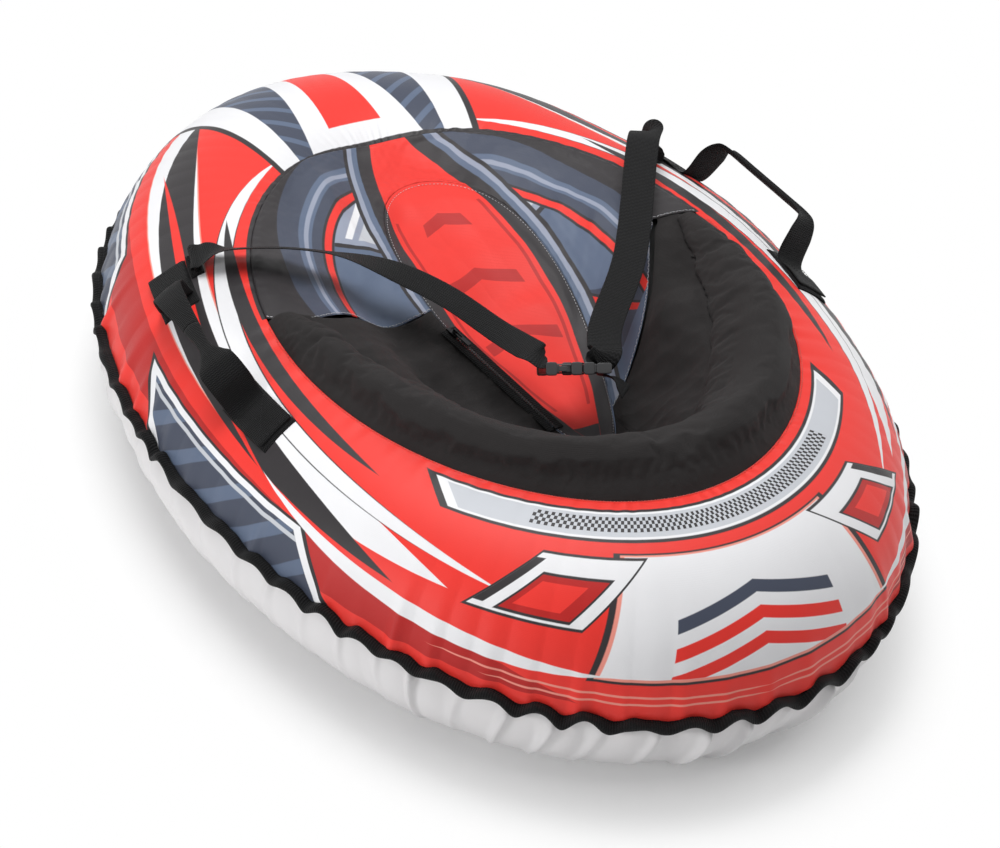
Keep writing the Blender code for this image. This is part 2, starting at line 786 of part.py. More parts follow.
def ribbon(name, line, across, width, thickness, look):
    """A flat strap along a line. across gives its width direction at each point, width one size or a list."""
    upper, lower = [], []
    for i, point in enumerate(line):
        before, after = line[max(0, i - 1)], line[min(len(line) - 1, i + 1)]
        along = (after - before).normalized()
        side = (across[i] - along * across[i].dot(along)).normalized()
        face = along.cross(side).normalized() * thickness / 2
        edge = side * (width[i] if isinstance(width, list) else width) / 2
        upper.append([point - edge + face, point + edge + face])
        lower.append([point - edge - face, point + edge - face])
    return sheet_solid(name, upper, lower, look)


def side_angle(side, u):
    """The plan angle on the left or right side that mirrors u on the right."""
    return u if side == RIGHT else math.pi - u


def rounded_end(pivot, out, pinch):
    """Points and widths of a swinging strap's end, from its tip under the pivot up to the pivot."""
    line, widths = [], []
    for share in END_DROP_SHARES:
        line.append(pivot - out * pinch * share)
        widths.append(2 * pinch * math.sqrt(1 - share * share))
    return line, widths


def make_handle(side, look):
    """A carry handle: two sewn patches and the webbing loop that swings between them."""
    word = "left" if side == LEFT else "right"
    half = HANDLE_WEBBING / 2 / SECTION_HALF
    section_angles = spread(HANDLE_SECTION_ANGLE - half, HANDLE_SECTION_ANGLE + half, PATCH_STEPS)
    for end, u in (("front", HANDLE_FRONT_ANGLE), ("rear", HANDLE_REAR_ANGLE)):
        turns = spread(u - PATCH_HALF_ANGLE, u + PATCH_HALF_ANGLE, PATCH_STEPS)
        angles = [side_angle(side, a) for a in turns]
        skin_patch(f"handle_patch_{word}_{end}", angles, section_angles, EDGE_GAP, PATCH_THICKNESS, look)

    pivots = handle_pivots(side)
    axis = (pivots[1] - pivots[0]).normalized()
    out = ring_normal(side_angle(side, 0.0), HANDLE_SECTION_ANGLE)
    out = (out - axis * out.dot(axis)).normalized()
    across = out.cross(axis).normalized()
    length = (pivots[1] - pivots[0]).length
    line, widths = rounded_end(pivots[0], out, HANDLE_PINCH)
    rising = list(HANDLE_PROFILE_SHARES)
    falling = [(1 - a, b, c) for a, b, c in reversed(HANDLE_PROFILE_SHARES[:-1])]
    for along_share, lift_share, width_share in rising + falling:
        line.append(pivots[0] + axis * length * along_share + out * HANDLE_LIFT * lift_share)
        widths.append(HANDLE_WEBBING * width_share)
    last_line, last_widths = rounded_end(pivots[1], out, HANDLE_PINCH)
    line += reversed(last_line)
    widths += reversed(last_widths)
    ribbon(f"handle_{word}", line, [across] * len(line), widths, HANDLE_THICKNESS, look)


def handle_pivots(side):
    """The two points that a handle swings about, just above its patches."""
    rise = EDGE_GAP + PATCH_THICKNESS + HANDLE_PINCH + EDGE_GAP
    made = []
    for u in (HANDLE_FRONT_ANGLE, HANDLE_REAR_ANGLE):
        made.append(ring_point(side_angle(side, u), HANDLE_SECTION_ANGLE, -rise))
    return made


def share_point(shares):
    x, y, z = shares
    return Vector((x * CORE_X, y * CORE_Y, z * CREST_HEIGHT))


def buckle_frame():
    """The buckle's place: X from the housing to the insert, Y across the webbing, Z through its thickness."""
    along = BUCKLE_AXIS
    across = (BUCKLE_ACROSS_HINT - along * BUCKLE_ACROSS_HINT.dot(along)).normalized()
    through = along.cross(across)
    frame = Matrix((along, across, through)).transposed().to_4x4()
    return Matrix.Translation(share_point(BUCKLE_PLACE_SHARE)) @ frame


def make_belt(look):
    """The two halves of the lap belt, the loose tail and the patches that anchor them."""
    frame = buckle_frame()
    across = frame.to_3x3() @ Vector((0.0, 1.0, 0.0))
    half = BELT_ANCHOR_WIDTH / 2 / SECTION_HALF
    high = HANDLE_SECTION_ANGLE + (HANDLE_WEBBING / 2 + LAYER_GAP) / SECTION_HALF + half
    turn = BELT_WEBBING / 2 / CORE_Y
    for side, word in ((LEFT, "left"), (RIGHT, "right")):
        angles = [side_angle(side, BELT_ANCHOR_ANGLE + a) for a in spread(-turn, turn, PATCH_STEPS)]
        section_angles = spread(high - half, high + half, PATCH_ROWS)
        skin_patch(f"belt_anchor_{word}", angles, section_angles, EDGE_GAP, PATCH_THICKNESS, look)

    def route(side, shares, bar):
        u = side_angle(side, BELT_ANCHOR_ANGLE)
        start = ring_point(u, high, -LAYER_GAP - PATCH_THICKNESS)
        lifted = start + ring_normal(u, high) * BELT_ANCHOR_LIFT
        return [start] + smooth_route([lifted, *[share_point(s) for s in shares], bar], ROUTE_STEPS)

    def widths_from(line, first, hanging, last):
        """The strap's width direction: from its anchor to its hanging stretch, and from there to the buckle."""
        count = len(line) - 1
        made = []
        for i in range(count + 1):
            place = (i - 1) / count
            hint = first.lerp(hanging, smooth_share(place / HANG_START_SHARE))
            made.append(hint.lerp(last, smooth_share((place - HANG_END_SHARE) / HANG_TWIST_SHARE)))
        return made

    def into_slot(x, side):
        """Points that lead a strap over the end bar and down through the slot at this place."""
        top = BUCKLE_THICKNESS / 2
        places = (
            (x + side * 3 * BUCKLE_SLOT, top + 3 * BUCKLE_BAR),
            (x + side * (BUCKLE_SLOT + LAYER_GAP), top + 4 * LAYER_GAP),
            (x + side * LAYER_GAP, top + LAYER_GAP),
            (x, -LAYER_GAP),
        )
        return [frame @ Vector((along_x, 0.0, height)) for along_x, height in places]

    housing_slot = -HOUSING_LENGTH + BUCKLE_BAR + BUCKLE_SLOT / 2
    left_end = into_slot(housing_slot, -1)
    left_line = route(LEFT, LEFT_ROUTE_SHARES, left_end[0]) + left_end[1:]
    left_start = ring_tangent(side_angle(LEFT, BELT_ANCHOR_ANGLE))
    left_widths = widths_from(left_line, left_start, LEFT_HANG_ACROSS, across)
    ribbon("belt_left", left_line, left_widths, BELT_WEBBING, WEBBING_THICKNESS, look)

    outer_slot = INSERT_LENGTH - BUCKLE_BAR - BUCKLE_SLOT / 2
    inner_slot = outer_slot - BUCKLE_BAR - BUCKLE_SLOT
    right_end = into_slot(inner_slot, 1)
    right_line = route(RIGHT, RIGHT_ROUTE_SHARES, right_end[0]) + right_end[1:]
    right_start = ring_tangent(BELT_ANCHOR_ANGLE)
    right_widths = widths_from(right_line, right_start, RIGHT_HANG_ACROSS, across)
    ribbon("belt_right", right_line, right_widths, BELT_WEBBING, WEBBING_THICKNESS, look)

    tail_drop = BUCKLE_THICKNESS / 2
    tail_places = (
        (outer_slot, 0.0),
        (outer_slot, tail_drop + LAYER_GAP),
        (outer_slot + BUCKLE_SLOT + LAYER_GAP, tail_drop + 2 * LAYER_GAP),
        (outer_slot + TAIL_LENGTH * TAIL_BEND_SHARE, tail_drop + 4 * LAYER_GAP),
        (outer_slot + TAIL_LENGTH, tail_drop + 3 * LAYER_GAP),
    )
    tail_line = [frame @ Vector((along_x, 0.0, -drop)) for along_x, drop in tail_places]
    ribbon("belt_tail", tail_line, [across] * len(tail_line), BELT_WEBBING, WEBBING_THICKNESS, look)


def make_buckle(look):
    """A side-release buckle: housing, insert and its two springy prongs."""
    frame = buckle_frame()
    half_width = BUCKLE_WIDTH / 2
    half_thick = BUCKLE_THICKNESS / 2
    slot_half = BELT_WEBBING / 2 + BUCKLE_CLEARANCE
    housing = box_object(
        "buckle_housing", (-HOUSING_LENGTH, -half_width, -half_thick), (0.0, half_width, half_thick), look
    )
    soften(housing, BUCKLE_WALL)
    cavity_end = -HOUSING_LENGTH + BUCKLE_BAR + BUCKLE_SLOT + 2 * BUCKLE_WALL
    cavity = box_object(
        "housing_cavity_cutter",
        (cavity_end, -half_width + BUCKLE_WALL, -half_thick + BUCKLE_WALL),
        (CUT_OVERRUN, half_width - BUCKLE_WALL, half_thick - BUCKLE_WALL),
    )
    window_end = -GUIDE_LENGTH + PRONG_HEAD + BUCKLE_CLEARANCE * 2
    window = box_object(
        "housing_window_cutter",
        (cavity_end + BUCKLE_WALL, -half_width - CUT_OVERRUN, -half_thick + BUCKLE_WALL),
        (window_end, half_width + CUT_OVERRUN, half_thick - BUCKLE_WALL),
    )
    slot = box_object(
        "housing_slot_cutter",
        (-HOUSING_LENGTH + BUCKLE_BAR, -slot_half, -half_thick - CUT_OVERRUN),
        (-HOUSING_LENGTH + BUCKLE_BAR + BUCKLE_SLOT, slot_half, half_thick + CUT_OVERRUN),
    )
    for cutter in (cavity, window, slot):
        placed(cutter, frame)
        combine(housing, cutter)
    placed(housing, frame)

    start = BUCKLE_CLEARANCE
    plate_half = half_thick - BUCKLE_WALL / 2
    insert = box_object(
        "buckle_insert", (start, -half_width, -plate_half), (INSERT_LENGTH, half_width, plate_half), look
    )
    guide_half = half_thick - BUCKLE_WALL - BUCKLE_CLEARANCE
    guide = box_object(
        "insert_guide",
        (-GUIDE_LENGTH, -GUIDE_WIDTH / 2, -guide_half),
        (start + BUCKLE_WALL, GUIDE_WIDTH / 2, guide_half),
    )
    combine(insert, guide, "UNION")
    slot_starts = (INSERT_LENGTH - BUCKLE_BAR - BUCKLE_SLOT, INSERT_LENGTH - 2 * (BUCKLE_BAR + BUCKLE_SLOT))
    for number, low in enumerate(slot_starts):
        gap = box_object(
            f"insert_slot_cutter_{number}",
            (low, -slot_half, -half_thick - CUT_OVERRUN),
            (low + BUCKLE_SLOT, slot_half, half_thick + CUT_OVERRUN),
        )
        placed(gap, frame)
        combine(insert, gap)
    soften(insert, BUCKLE_WALL / 2)
    placed(insert, frame)
    placed(guide, frame)

    for sign, word in ((1, "left"), (-1, "right")):
        outer = half_width - BUCKLE_WALL - BUCKLE_CLEARANCE
        inner = outer - PRONG_WIDTH
        tip = -PRONG_LENGTH
        outline = [
            (start - BUCKLE_CLEARANCE, inner),
            (tip, inner + PRONG_WIDTH / 3),
            (tip - PRONG_WIDTH / 2, outer),
            (tip + PRONG_HEAD / 2, half_width - BUCKLE_CLEARANCE),
            (tip + PRONG_HEAD, half_width - BUCKLE_CLEARANCE),
            (tip + PRONG_HEAD, outer),
            (start - BUCKLE_CLEARANCE, outer),
        ]
        sections = []
        for z in (-guide_half, guide_half):
            sections.append([Vector((x, sign * y, z)) for x, y in outline])
        prong = swept_solid(f"buckle_prong_{word}", sections, look)
        placed(prong, frame)


def zip_frame():
    """The zip's frame: X along it from the rear, Y to its right, Z out of the seat, seated on the fabric."""
    rear = panel_edge(ZIP_REAR_ANGLE)
    front = panel_edge(ZIP_FRONT_ANGLE)
    low = Vector((rear.x, rear.y, seat_height(rear.x, rear.y)))
    high = Vector((front.x, front.y, seat_height(front.x, front.y)))
    along = (high - low).normalized()
    across = Vector((along.y, -along.x, 0.0)).normalized()
    slope = seat_height(*(rear.lerp(front, 0.5) + across * ZIP_TAPE_WIDTH).xy)
    slope -= seat_height(*(rear.lerp(front, 0.5) - across * ZIP_TAPE_WIDTH).xy)
    across = (across * 2 * ZIP_TAPE_WIDTH + UP * slope).normalized()
    across = (across - along * across.dot(along)).normalized()
    normal = along.cross(across) * -1
    if normal.z < 0:
        normal = -normal
    proud = 0.0
    for i in range(ZIP_SAMPLES + 1):
        for side in range(-2, 3):
            point = low.lerp(high, i / ZIP_SAMPLES) + across * ZIP_TAPE_WIDTH * side / 2
            proud = max(proud, (seat_height(point.x, point.y) - point.z) * normal.z)
    origin = low + normal * (proud + LAYER_GAP / 2)
    axes = Matrix((along, -across, normal)).transposed().to_4x4()
    return Matrix.Translation(origin) @ axes, (high - low).length


def make_zip(tape_look, coil_look, slider_look):
    """The zip: two tapes, the coil, end stops, the slider and its pull."""
    frame, length = zip_frame()
    coil_half = ZIP_COIL_WIDTH / 2
    for sign, word in ((1, "left"), (-1, "right")):
        near, far = sign * (coil_half + EDGE_GAP), sign * ZIP_TAPE_WIDTH
        tape = box_object(
            f"zip_tape_{word}", (0.0, min(near, far), 0.0), (length, max(near, far), ZIP_TAPE_THICKNESS), tape_look
        )
        placed(tape, frame)
    coil = box_object(
        "zip_coil",
        (ZIP_STOP_LENGTH, -coil_half, 0.0),
        (length - ZIP_STOP_LENGTH, coil_half, ZIP_COIL_HEIGHT),
        coil_look,
    )
    soften(coil, ZIP_COIL_HEIGHT / 4, 1)
    placed(coil, frame)
    for number, low in enumerate((0.0, length - ZIP_STOP_LENGTH + EDGE_GAP)):
        stop = box_object(
            f"zip_stop_{'rear' if number == 0 else 'front'}",
            (low, -coil_half, 0.0),
            (low + ZIP_STOP_LENGTH - EDGE_GAP, coil_half, ZIP_COIL_HEIGHT),
            slider_look,
        )
        placed(stop, frame)
    floor = ZIP_TAPE_THICKNESS + SLIDER_CLEARANCE
    roof = ZIP_COIL_HEIGHT + SLIDER_CLEARANCE
    half = SLIDER_WIDTH / 2
    start = length - ZIP_STOP_LENGTH - SLIDER_LENGTH - LAYER_GAP
    slider = box_object("zip_slider", (0.0, -half, floor), (SLIDER_LENGTH, half, roof + SLIDER_WALL), slider_look)
    channel = box_object(
        "slider_channel_cutter",
        (-CUT_OVERRUN, -coil_half - SLIDER_CLEARANCE, -CUT_OVERRUN),
        (SLIDER_LENGTH + CUT_OVERRUN, coil_half + SLIDER_CLEARANCE, roof),
    )
    lug_width = PULL_WIDTH / 3
    lug_top = roof + SLIDER_WALL + 3 * PULL_THICKNESS
    lug = box_object(
        "slider_lug",
        (SLIDER_LENGTH / 4, -lug_width / 2, roof + SLIDER_WALL / 2),
        (SLIDER_LENGTH * 3 / 4, lug_width / 2, lug_top),
    )
    eye = box_object(
        "slider_eye_cutter",
        (SLIDER_LENGTH / 2 - PULL_THICKNESS, -CUT_OVERRUN, roof + SLIDER_WALL),
        (SLIDER_LENGTH / 2 + PULL_THICKNESS, CUT_OVERRUN, roof + SLIDER_WALL + 2 * PULL_THICKNESS),
    )
    combine(slider, lug, "UNION")
    for cutter in (channel, eye):
        combine(slider, cutter)
    here = frame @ Matrix.Translation(Vector((start, 0.0, 0.0)))
    for piece in (slider, channel, lug, eye):
        placed(piece, here)
    pivot_height = roof + SLIDER_WALL + PULL_THICKNESS
    pull = box_object(
        "zip_pull",
        (-PULL_THICKNESS / 2, -PULL_WIDTH / 2, -PULL_THICKNESS / 2),
        (PULL_LENGTH, PULL_WIDTH / 2, PULL_THICKNESS / 2),
        slider_look,
    )
    ring_hole = box_object(
        "pull_hole_cutter",
        (PULL_THICKNESS / 2, -lug_width / 2 - SLIDER_CLEARANCE, -CUT_OVERRUN),
        (SLIDER_LENGTH, lug_width / 2 + SLIDER_CLEARANCE, CUT_OVERRUN),
    )
    combine(pull, ring_hole)
    pivot = here @ Matrix.Translation(Vector((SLIDER_LENGTH / 2, 0.0, pivot_height)))
    for piece in (pull, ring_hole):
        placed(piece, pivot @ Matrix.Rotation(math.pi, 4, "Z"))


def tow_pivots():
    """The two points that the tow loop swings about."""
    rise = EDGE_GAP + PATCH_THICKNESS + TOW_PINCH + EDGE_GAP / 2
    turn = TOW_HALF_SPREAD / (CORE_X + SECTION_HALF)
    return [ring_point(math.pi / 2 - side * turn, TOW_SECTION_ANGLE, -rise) for side in (LEFT, RIGHT)]


def make_tow_loop(look):
    """A sewn patch on the front of the lower cover and the webbing loop on it."""
    turn = (TOW_HALF_SPREAD + TOW_WEBBING) / CORE_X
    half = TOW_WEBBING / 2 / SECTION_HALF
    angles = spread(math.pi / 2 - turn, math.pi / 2 + turn, TOW_PATCH_STEPS)
    section_angles = spread(TOW_SECTION_ANGLE - half, TOW_SECTION_ANGLE + half, PATCH_STEPS)
    skin_patch("tow_patch", angles, section_angles, EDGE_GAP, PATCH_THICKNESS, look)
    pivots = tow_pivots()
    forwards = Vector((0.0, 1.0, 0.0))
    line, widths = rounded_end(pivots[0], forwards, TOW_PINCH)
    middle = (pivots[0] + pivots[1]) / 2
    for angle in spread(TOW_TURN, math.pi - TOW_TURN, TOW_LOOP_STEPS):
        aside = math.cos(angle) * TOW_HALF_SPREAD * TOW_SPREAD_SHARE
        line.append(middle + Vector((aside, math.sin(angle) * TOW_REACH, 0.0)))
        widths.append(TOW_HEIGHT)
    last_line, last_widths = rounded_end(pivots[1], forwards, TOW_PINCH)
    line += reversed(last_line)
    widths += reversed(last_widths)
    ribbon("tow_loop", line, [UP] * len(line), widths, WEBBING_THICKNESS, look)


def main():
    clear_scene()
    red = material("printed_polyester", (0.86, 0.07, 0.05), 0.55)
    white = material("white_pvc", (0.82, 0.82, 0.84), 0.38)
    black = material("black_polyester", (0.045, 0.042, 0.042), 0.75)
    tape = material("binding_tape", (0.012, 0.012, 0.012), 0.8)
    webbing = material("webbing", (0.02, 0.02, 0.02), 0.8)
    rubber = material("butyl_rubber", (0.02, 0.02, 0.02), 0.6)
    foam = material("foam", (0.7, 0.7, 0.66), 0.95)
    plastic = material("black_plastic", (0.03, 0.03, 0.03), 0.45)
    brass = material("brass", (0.72, 0.55, 0.25), 0.35, 1.0)
    enamel = material("black_enamel", (0.02, 0.02, 0.02), 0.35, 0.3)
    make_top_cover(red)
    make_bottom_cover(white)
    tube, drill = make_inner_tube(rubber)
    placed(drill, valve_frame())
    combine(tube, drill)
    make_valve(rubber, brass, plastic)
    make_binding(tape)
    make_seat(red, black)
    make_bolster(black, foam)
    for side in (LEFT, RIGHT):
        make_handle(side, webbing)
    make_belt(webbing)
    make_buckle(plastic)
    make_zip(tape, plastic, enamel)
    make_tow_loop(webbing)


main()
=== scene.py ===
"""Visual model of a child's oval snow tube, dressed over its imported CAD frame.

Metres, +Z up, +Y the front of the sledge. u runs round the plan (0 right, 90 degrees front) and v round the
tube's section (0 outermost, 90 degrees the crest), as in the CAD.
"""

import math

import bmesh
import bpy
import numpy as np
from mathutils import Matrix, Vector


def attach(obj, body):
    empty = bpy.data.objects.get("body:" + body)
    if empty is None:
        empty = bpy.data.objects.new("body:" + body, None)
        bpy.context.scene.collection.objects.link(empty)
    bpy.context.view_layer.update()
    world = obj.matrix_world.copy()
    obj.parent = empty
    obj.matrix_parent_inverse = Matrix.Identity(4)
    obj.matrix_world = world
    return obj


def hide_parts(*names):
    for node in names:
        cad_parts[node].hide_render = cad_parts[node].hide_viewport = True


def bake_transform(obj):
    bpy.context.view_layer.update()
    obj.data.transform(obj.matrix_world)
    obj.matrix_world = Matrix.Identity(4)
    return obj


MM = 0.001
TURN = 2 * math.pi

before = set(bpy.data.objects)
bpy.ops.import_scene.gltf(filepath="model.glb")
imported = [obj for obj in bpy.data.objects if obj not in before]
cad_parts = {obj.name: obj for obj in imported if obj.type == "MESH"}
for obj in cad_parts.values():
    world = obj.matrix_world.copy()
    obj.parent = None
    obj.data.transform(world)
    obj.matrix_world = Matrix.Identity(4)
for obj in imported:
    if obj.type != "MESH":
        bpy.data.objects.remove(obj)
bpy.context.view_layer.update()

# The CAD's own sizes, repeated here because this script can't read its source
SECTION_HALF = 153 * MM
SECTION_RISE = 148 * MM
CENTRE_HEIGHT = 129 * MM
CORE_X = 257 * MM
CORE_Y = 414 * MM
CREST_HEIGHT = CENTRE_HEIGHT + SECTION_RISE
PANEL_SHIFT = 25 * MM
PANEL_HALF_WIDTH = 85 * MM
PANEL_TAPER = 30 * MM
PANEL_HALF_LENGTH = 225 * MM
PANEL_MIDDLE = 30 * MM
SEAT_FRONT_DEPTH = 27 * MM
SEAT_REAR_DEPTH = 99 * MM
SEAT_DISH = 20 * MM
SEAT_BLEND = 20 * MM
SEAT_LIFT = 1.2 * MM
WAVE_COUNT = 60
RIGHT_SEAM = math.radians(6)
LEFT_SEAM = math.pi - RIGHT_SEAM
REAR_SEAM = math.radians(-54)
REAR_LEFT_SEAM = -math.pi - REAR_SEAM
RIGHT_SEAM_LEAN = math.radians(-54)
SEAM_LEAN_SHARE = 0.8
SEAM_BLEND = 5 * math.radians(6)
BOLSTER_HALF_SPAN = math.radians(96)
HANDLE_WEBBING = 48 * MM
BELT_WEBBING = 38 * MM
WEBBING_THICKNESS = 1.6 * MM
HANDLE_LIFT = 46 * MM
HANDLE_PINCH = 7 * MM
PATCH_THICKNESS = 2.4 * MM
EDGE_GAP = 0.4 * MM
HANDLE_ANGLES = (math.radians(20), math.radians(-9))
HANDLE_SECTION = math.radians(53)
PATCH_HALF_ANGLE = math.radians(5)
BELT_ANCHOR_WIDTH = 16 * MM
BELT_ANCHOR_ANGLE = math.radians(23)
BELT_ANCHOR_LIFT = 9 * MM
BUCKLE_WIDTH = 50 * MM
BUCKLE_THICKNESS = 11 * MM
BUCKLE_SLOT = 4.5 * MM
BUCKLE_BAR = 4 * MM
HOUSING_LENGTH = 40 * MM
INSERT_LENGTH = 31 * MM
TAIL_LENGTH = 38 * MM
ZIP_TAPE_WIDTH = 11 * MM
ZIP_COIL_WIDTH = 5 * MM
ZIP_COIL_HEIGHT = 2.2 * MM
ZIP_STOP_LENGTH = 4 * MM
TOW_WEBBING = 30 * MM
TOW_REACH = 42 * MM
TOW_HEIGHT = 15 * MM
TOW_SECTION = math.radians(-14)
TOW_HALF_SPREAD = 24 * MM
# Where the belts run, as shares of the core's half width, its half length and the crest's height
LEFT_ROUTE_SHARES = (
    (-1.06, 0.375, 1.060),
    (-0.80, 0.290, 1.085),
    (-0.53, 0.190, 1.055),
    (-0.30, 0.040, 0.995),
    (-0.165, -0.130, 0.945),
)
RIGHT_ROUTE_SHARES = (
    (1.14, 0.425, 1.080),
    (1.065, 0.385, 1.135),
    (0.95, 0.290, 1.125),
    (0.59, -0.03, 1.035),
    (0.275, -0.235, 0.975),
)
BUCKLE_PLACE_SHARE = (0.045, -0.335, 0.915)
SIDES = ((-1, "left"), (1, "right"))

# Sizes and colours of the render alone
COVER_THICKNESS = 0.8 * MM
BINDING_LENGTH = 3100 * MM
SEAT_REACH = 160 * MM  # about how far the seat's cloth runs from the panel to the opening
HALF_GAP = 0.25 * MM  # half the gap between the seat's panel and the cloth round it
MERGE = 0.01 * MM  # points closer than this are joined
ROLL_TUCK = 7 * MM  # how deep the roll's outer edge is tucked in
PRINT_BLUR = 0.5 * MM  # half the width of a printed edge
ROOM_LIGHT = 0.27  # how strongly the world lights, where the backdrop shows as 1
RED = (0.82, 0.036, 0.026)
DEEP_RED = (0.46, 0.014, 0.012)
SALMON = (0.86, 0.30, 0.24)
WHITE = (0.84, 0.84, 0.86)
PALE = (0.55, 0.57, 0.61)
STEEL = (0.30, 0.33, 0.42)
SLATE = (0.050, 0.060, 0.092)
BLUE_GREY = (0.105, 0.140, 0.215)
INK = (0.020, 0.017, 0.019)


# Shapes on the tube, for arrays of angles

def unit(vectors):
    return vectors / np.linalg.norm(vectors, axis=-1, keepdims=True)


def stacked(*parts):
    """Points from their parts, each stretched to one shape."""
    return np.stack(np.broadcast_arrays(*parts), -1)


def around(count):
    return np.linspace(0, TURN, count, endpoint=False)


def core_points(u):
    """Points on the oval that the tube's section runs along, in plan."""
    return np.stack([CORE_X * np.cos(u), CORE_Y * np.sin(u)], -1)


def outwards(u):
    """The direction in plan square to the core line."""
    return unit(np.stack([np.cos(u) / CORE_X, np.sin(u) / CORE_Y], -1))


def ring_points(u, v, lift=0.0):
    """Points on the tube's skin or this far above it."""
    u, v = np.broadcast_arrays(u, v)
    across = outwards(u)
    reach = (SECTION_HALF + lift) * np.cos(v)
    x = CORE_X * np.cos(u) + across[..., 0] * reach
    y = CORE_Y * np.sin(u) + across[..., 1] * reach
    z = CENTRE_HEIGHT + (SECTION_RISE + lift) * np.sin(v)
    return np.stack([x, y, z], -1)


def ring_normals(u, v):
    u, v = np.broadcast_arrays(u, v)
    across = outwards(u)
    flat = np.cos(v) * SECTION_RISE
    return unit(np.stack([across[..., 0] * flat, across[..., 1] * flat, np.sin(v) * SECTION_HALF], -1))


def seam_angle(u):
    """The section angle of the seam between the covers, which rises and falls round the tube."""
    return np.radians(2.1 + np.sin(u) + 5.1 * np.cos(2 * u))


def opening_angle(u):
    """The section angle of the seat opening's edge."""
    forward = np.sin(u)
    return np.radians(80 + 13 * forward + 30 * forward * forward)


def smooth(x):
    """A soft step from 0 to 1 while x runs from 0 to 1."""
    x = np.clip(x, 0.0, 1.0)
    return x * x * (3 - 2 * x)


def wander(count, low, high, seed, terms=14):
    """A smooth closed random curve of about unit size over one turn, from waves of these counts per turn."""
    source = np.random.default_rng(seed)
    total = np.zeros(count)
    for wave in source.integers(low, high + 1, terms):
        total += source.normal() * np.sin(wave * around(count) + source.uniform(0, TURN))
    return total / math.sqrt(terms / 2)


def uneven(count, low, high, seed, base=0.0, share=1.0):
    """A column of sizes that change at random round the tube and are never negative."""
    return np.abs(base + share * wander(count, low, high, seed))[:, None]


def crumple(x, y, seed, short, long, terms=22, sharp=0.0):
    """A random field of about unit size over plan points, its waves between two lengths. sharp creases it."""
    source = np.random.default_rng(seed)
    total = np.zeros(np.broadcast(x, y).shape)
    for _ in range(terms):
        angle = source.uniform(0, math.pi)
        turn = TURN / source.uniform(short, long)
        wave = np.sin(turn * (x * math.cos(angle) + y * math.sin(angle)) + source.uniform(0, TURN))
        total += wave * (1 - sharp) + (1 - 2.2 * np.abs(wave)) * sharp
    return total / math.sqrt(terms / 2)


def seat_heights(x, y):
    """The height of the seat's fabric over arrays of plan points."""
    x, y = np.broadcast_arrays(np.asarray(x, float), np.asarray(y, float))
    away = np.full(x.shape, 9.0)
    for cx, cy in core_points(around(1440)):
        away = np.minimum(away, np.hypot(x - cx, y - cy))
    share = np.clip(away / (SECTION_HALF + SEAT_LIFT), 0, 1)
    over = CENTRE_HEIGHT + (SECTION_RISE + SEAT_LIFT) * np.sqrt(1 - share * share)
    front = PANEL_MIDDLE + PANEL_HALF_LENGTH + SEAT_FRONT_DEPTH * 3
    rear = PANEL_MIDDLE - PANEL_HALF_LENGTH
    depth = SEAT_FRONT_DEPTH + (SEAT_REAR_DEPTH - SEAT_FRONT_DEPTH) * smooth((front - y) / (front - rear))
    aside = np.minimum(1.0, np.abs(x - PANEL_SHIFT) / (PANEL_HALF_WIDTH + PANEL_TAPER))
    hanging = CREST_HEIGHT - depth + SEAT_DISH * aside * aside
    near = np.clip(1 - np.abs((over - hanging) / SEAT_BLEND), 0, 1)
    return np.where(share >= 1, hanging, np.maximum(over, hanging) + SEAT_BLEND * near * near / 4)


def panel_edges(u, outward=0.0):
    """The edge of the seat's panel in plan, or this far outside it."""
    half = PANEL_HALF_WIDTH + PANEL_TAPER * np.sin(u) + outward
    x = PANEL_SHIFT + half * np.cos(u)
    y = PANEL_MIDDLE + (PANEL_HALF_LENGTH + outward) * np.sin(u)
    return np.stack([x, y], -1)


def bolster_bulk(u):
    """How thick the backrest is: 1 at the rear and 0 at both of its ends."""
    share = np.abs((u + math.pi / 2) / BOLSTER_HALF_SPAN)
    return np.maximum(0.0, np.cos(math.pi / 2 * np.minimum(1.0, share))) ** 0.6


def bolster_foot(u):
    """The section angle where the backrest ends, inside the opening."""
    return opening_angle(u) + np.radians(10 + 40 * bolster_bulk(u))


def bolster_points(u, share, lift):
    """Points on the backrest's crown; share runs from the opening's edge to the foot."""
    u, share = np.broadcast_arrays(u, share)
    start = opening_angle(u)
    points = ring_points(u, start + (bolster_foot(u) - start) * share, lift)
    crown = np.maximum(0.0, np.sin(math.pi * share ** 1.25)) ** 0.75
    points[..., 2] += (5 + 55 * bolster_bulk(u)) * MM * crown
    return points


# Materials: a small layer over shader nodes, so a print or a weave reads as a formula

class Value:
    """A number or a node's output that can be added, multiplied and compared."""

    def __init__(self, tree, socket):
        self.tree = tree
        self.socket = socket

    def math(self, kind, *others, clamp=False):
        node = self.tree.nodes.new("ShaderNodeMath")
        node.operation = kind
        node.use_clamp = clamp
        for slot, item in zip(node.inputs, (self, *others)):
            if isinstance(item, Value):
                self.tree.links.new(item.socket, slot)
            else:
                slot.default_value = item
        return Value(self.tree, node.outputs[0])

    def __add__(self, other):
        return self.math("ADD", other)

    def __sub__(self, other):
        return self.math("SUBTRACT", other)

    def __mul__(self, other):
        return self.math("MULTIPLY", other)

    def __truediv__(self, other):
        return self.math("DIVIDE", other)

    __radd__ = __add__
    __rmul__ = __mul__

    def __rsub__(self, other):
        return (self * -1) + other

    def abs(self):
        return self.math("ABSOLUTE")

    def sin(self):
        return self.math("SINE")

    def fraction(self):
        return self.math("FRACT")

    def above(self, edge=0.0, soft=PRINT_BLUR):
        """1 where this is above an edge, with a narrow soft step."""
        return ((self - edge) / (2 * soft) + 0.5).math("ADD", 0.0, clamp=True)

    def between(self, low, high, soft=PRINT_BLUR):
        return self.above(low, soft) * (1 - self.above(high, soft))


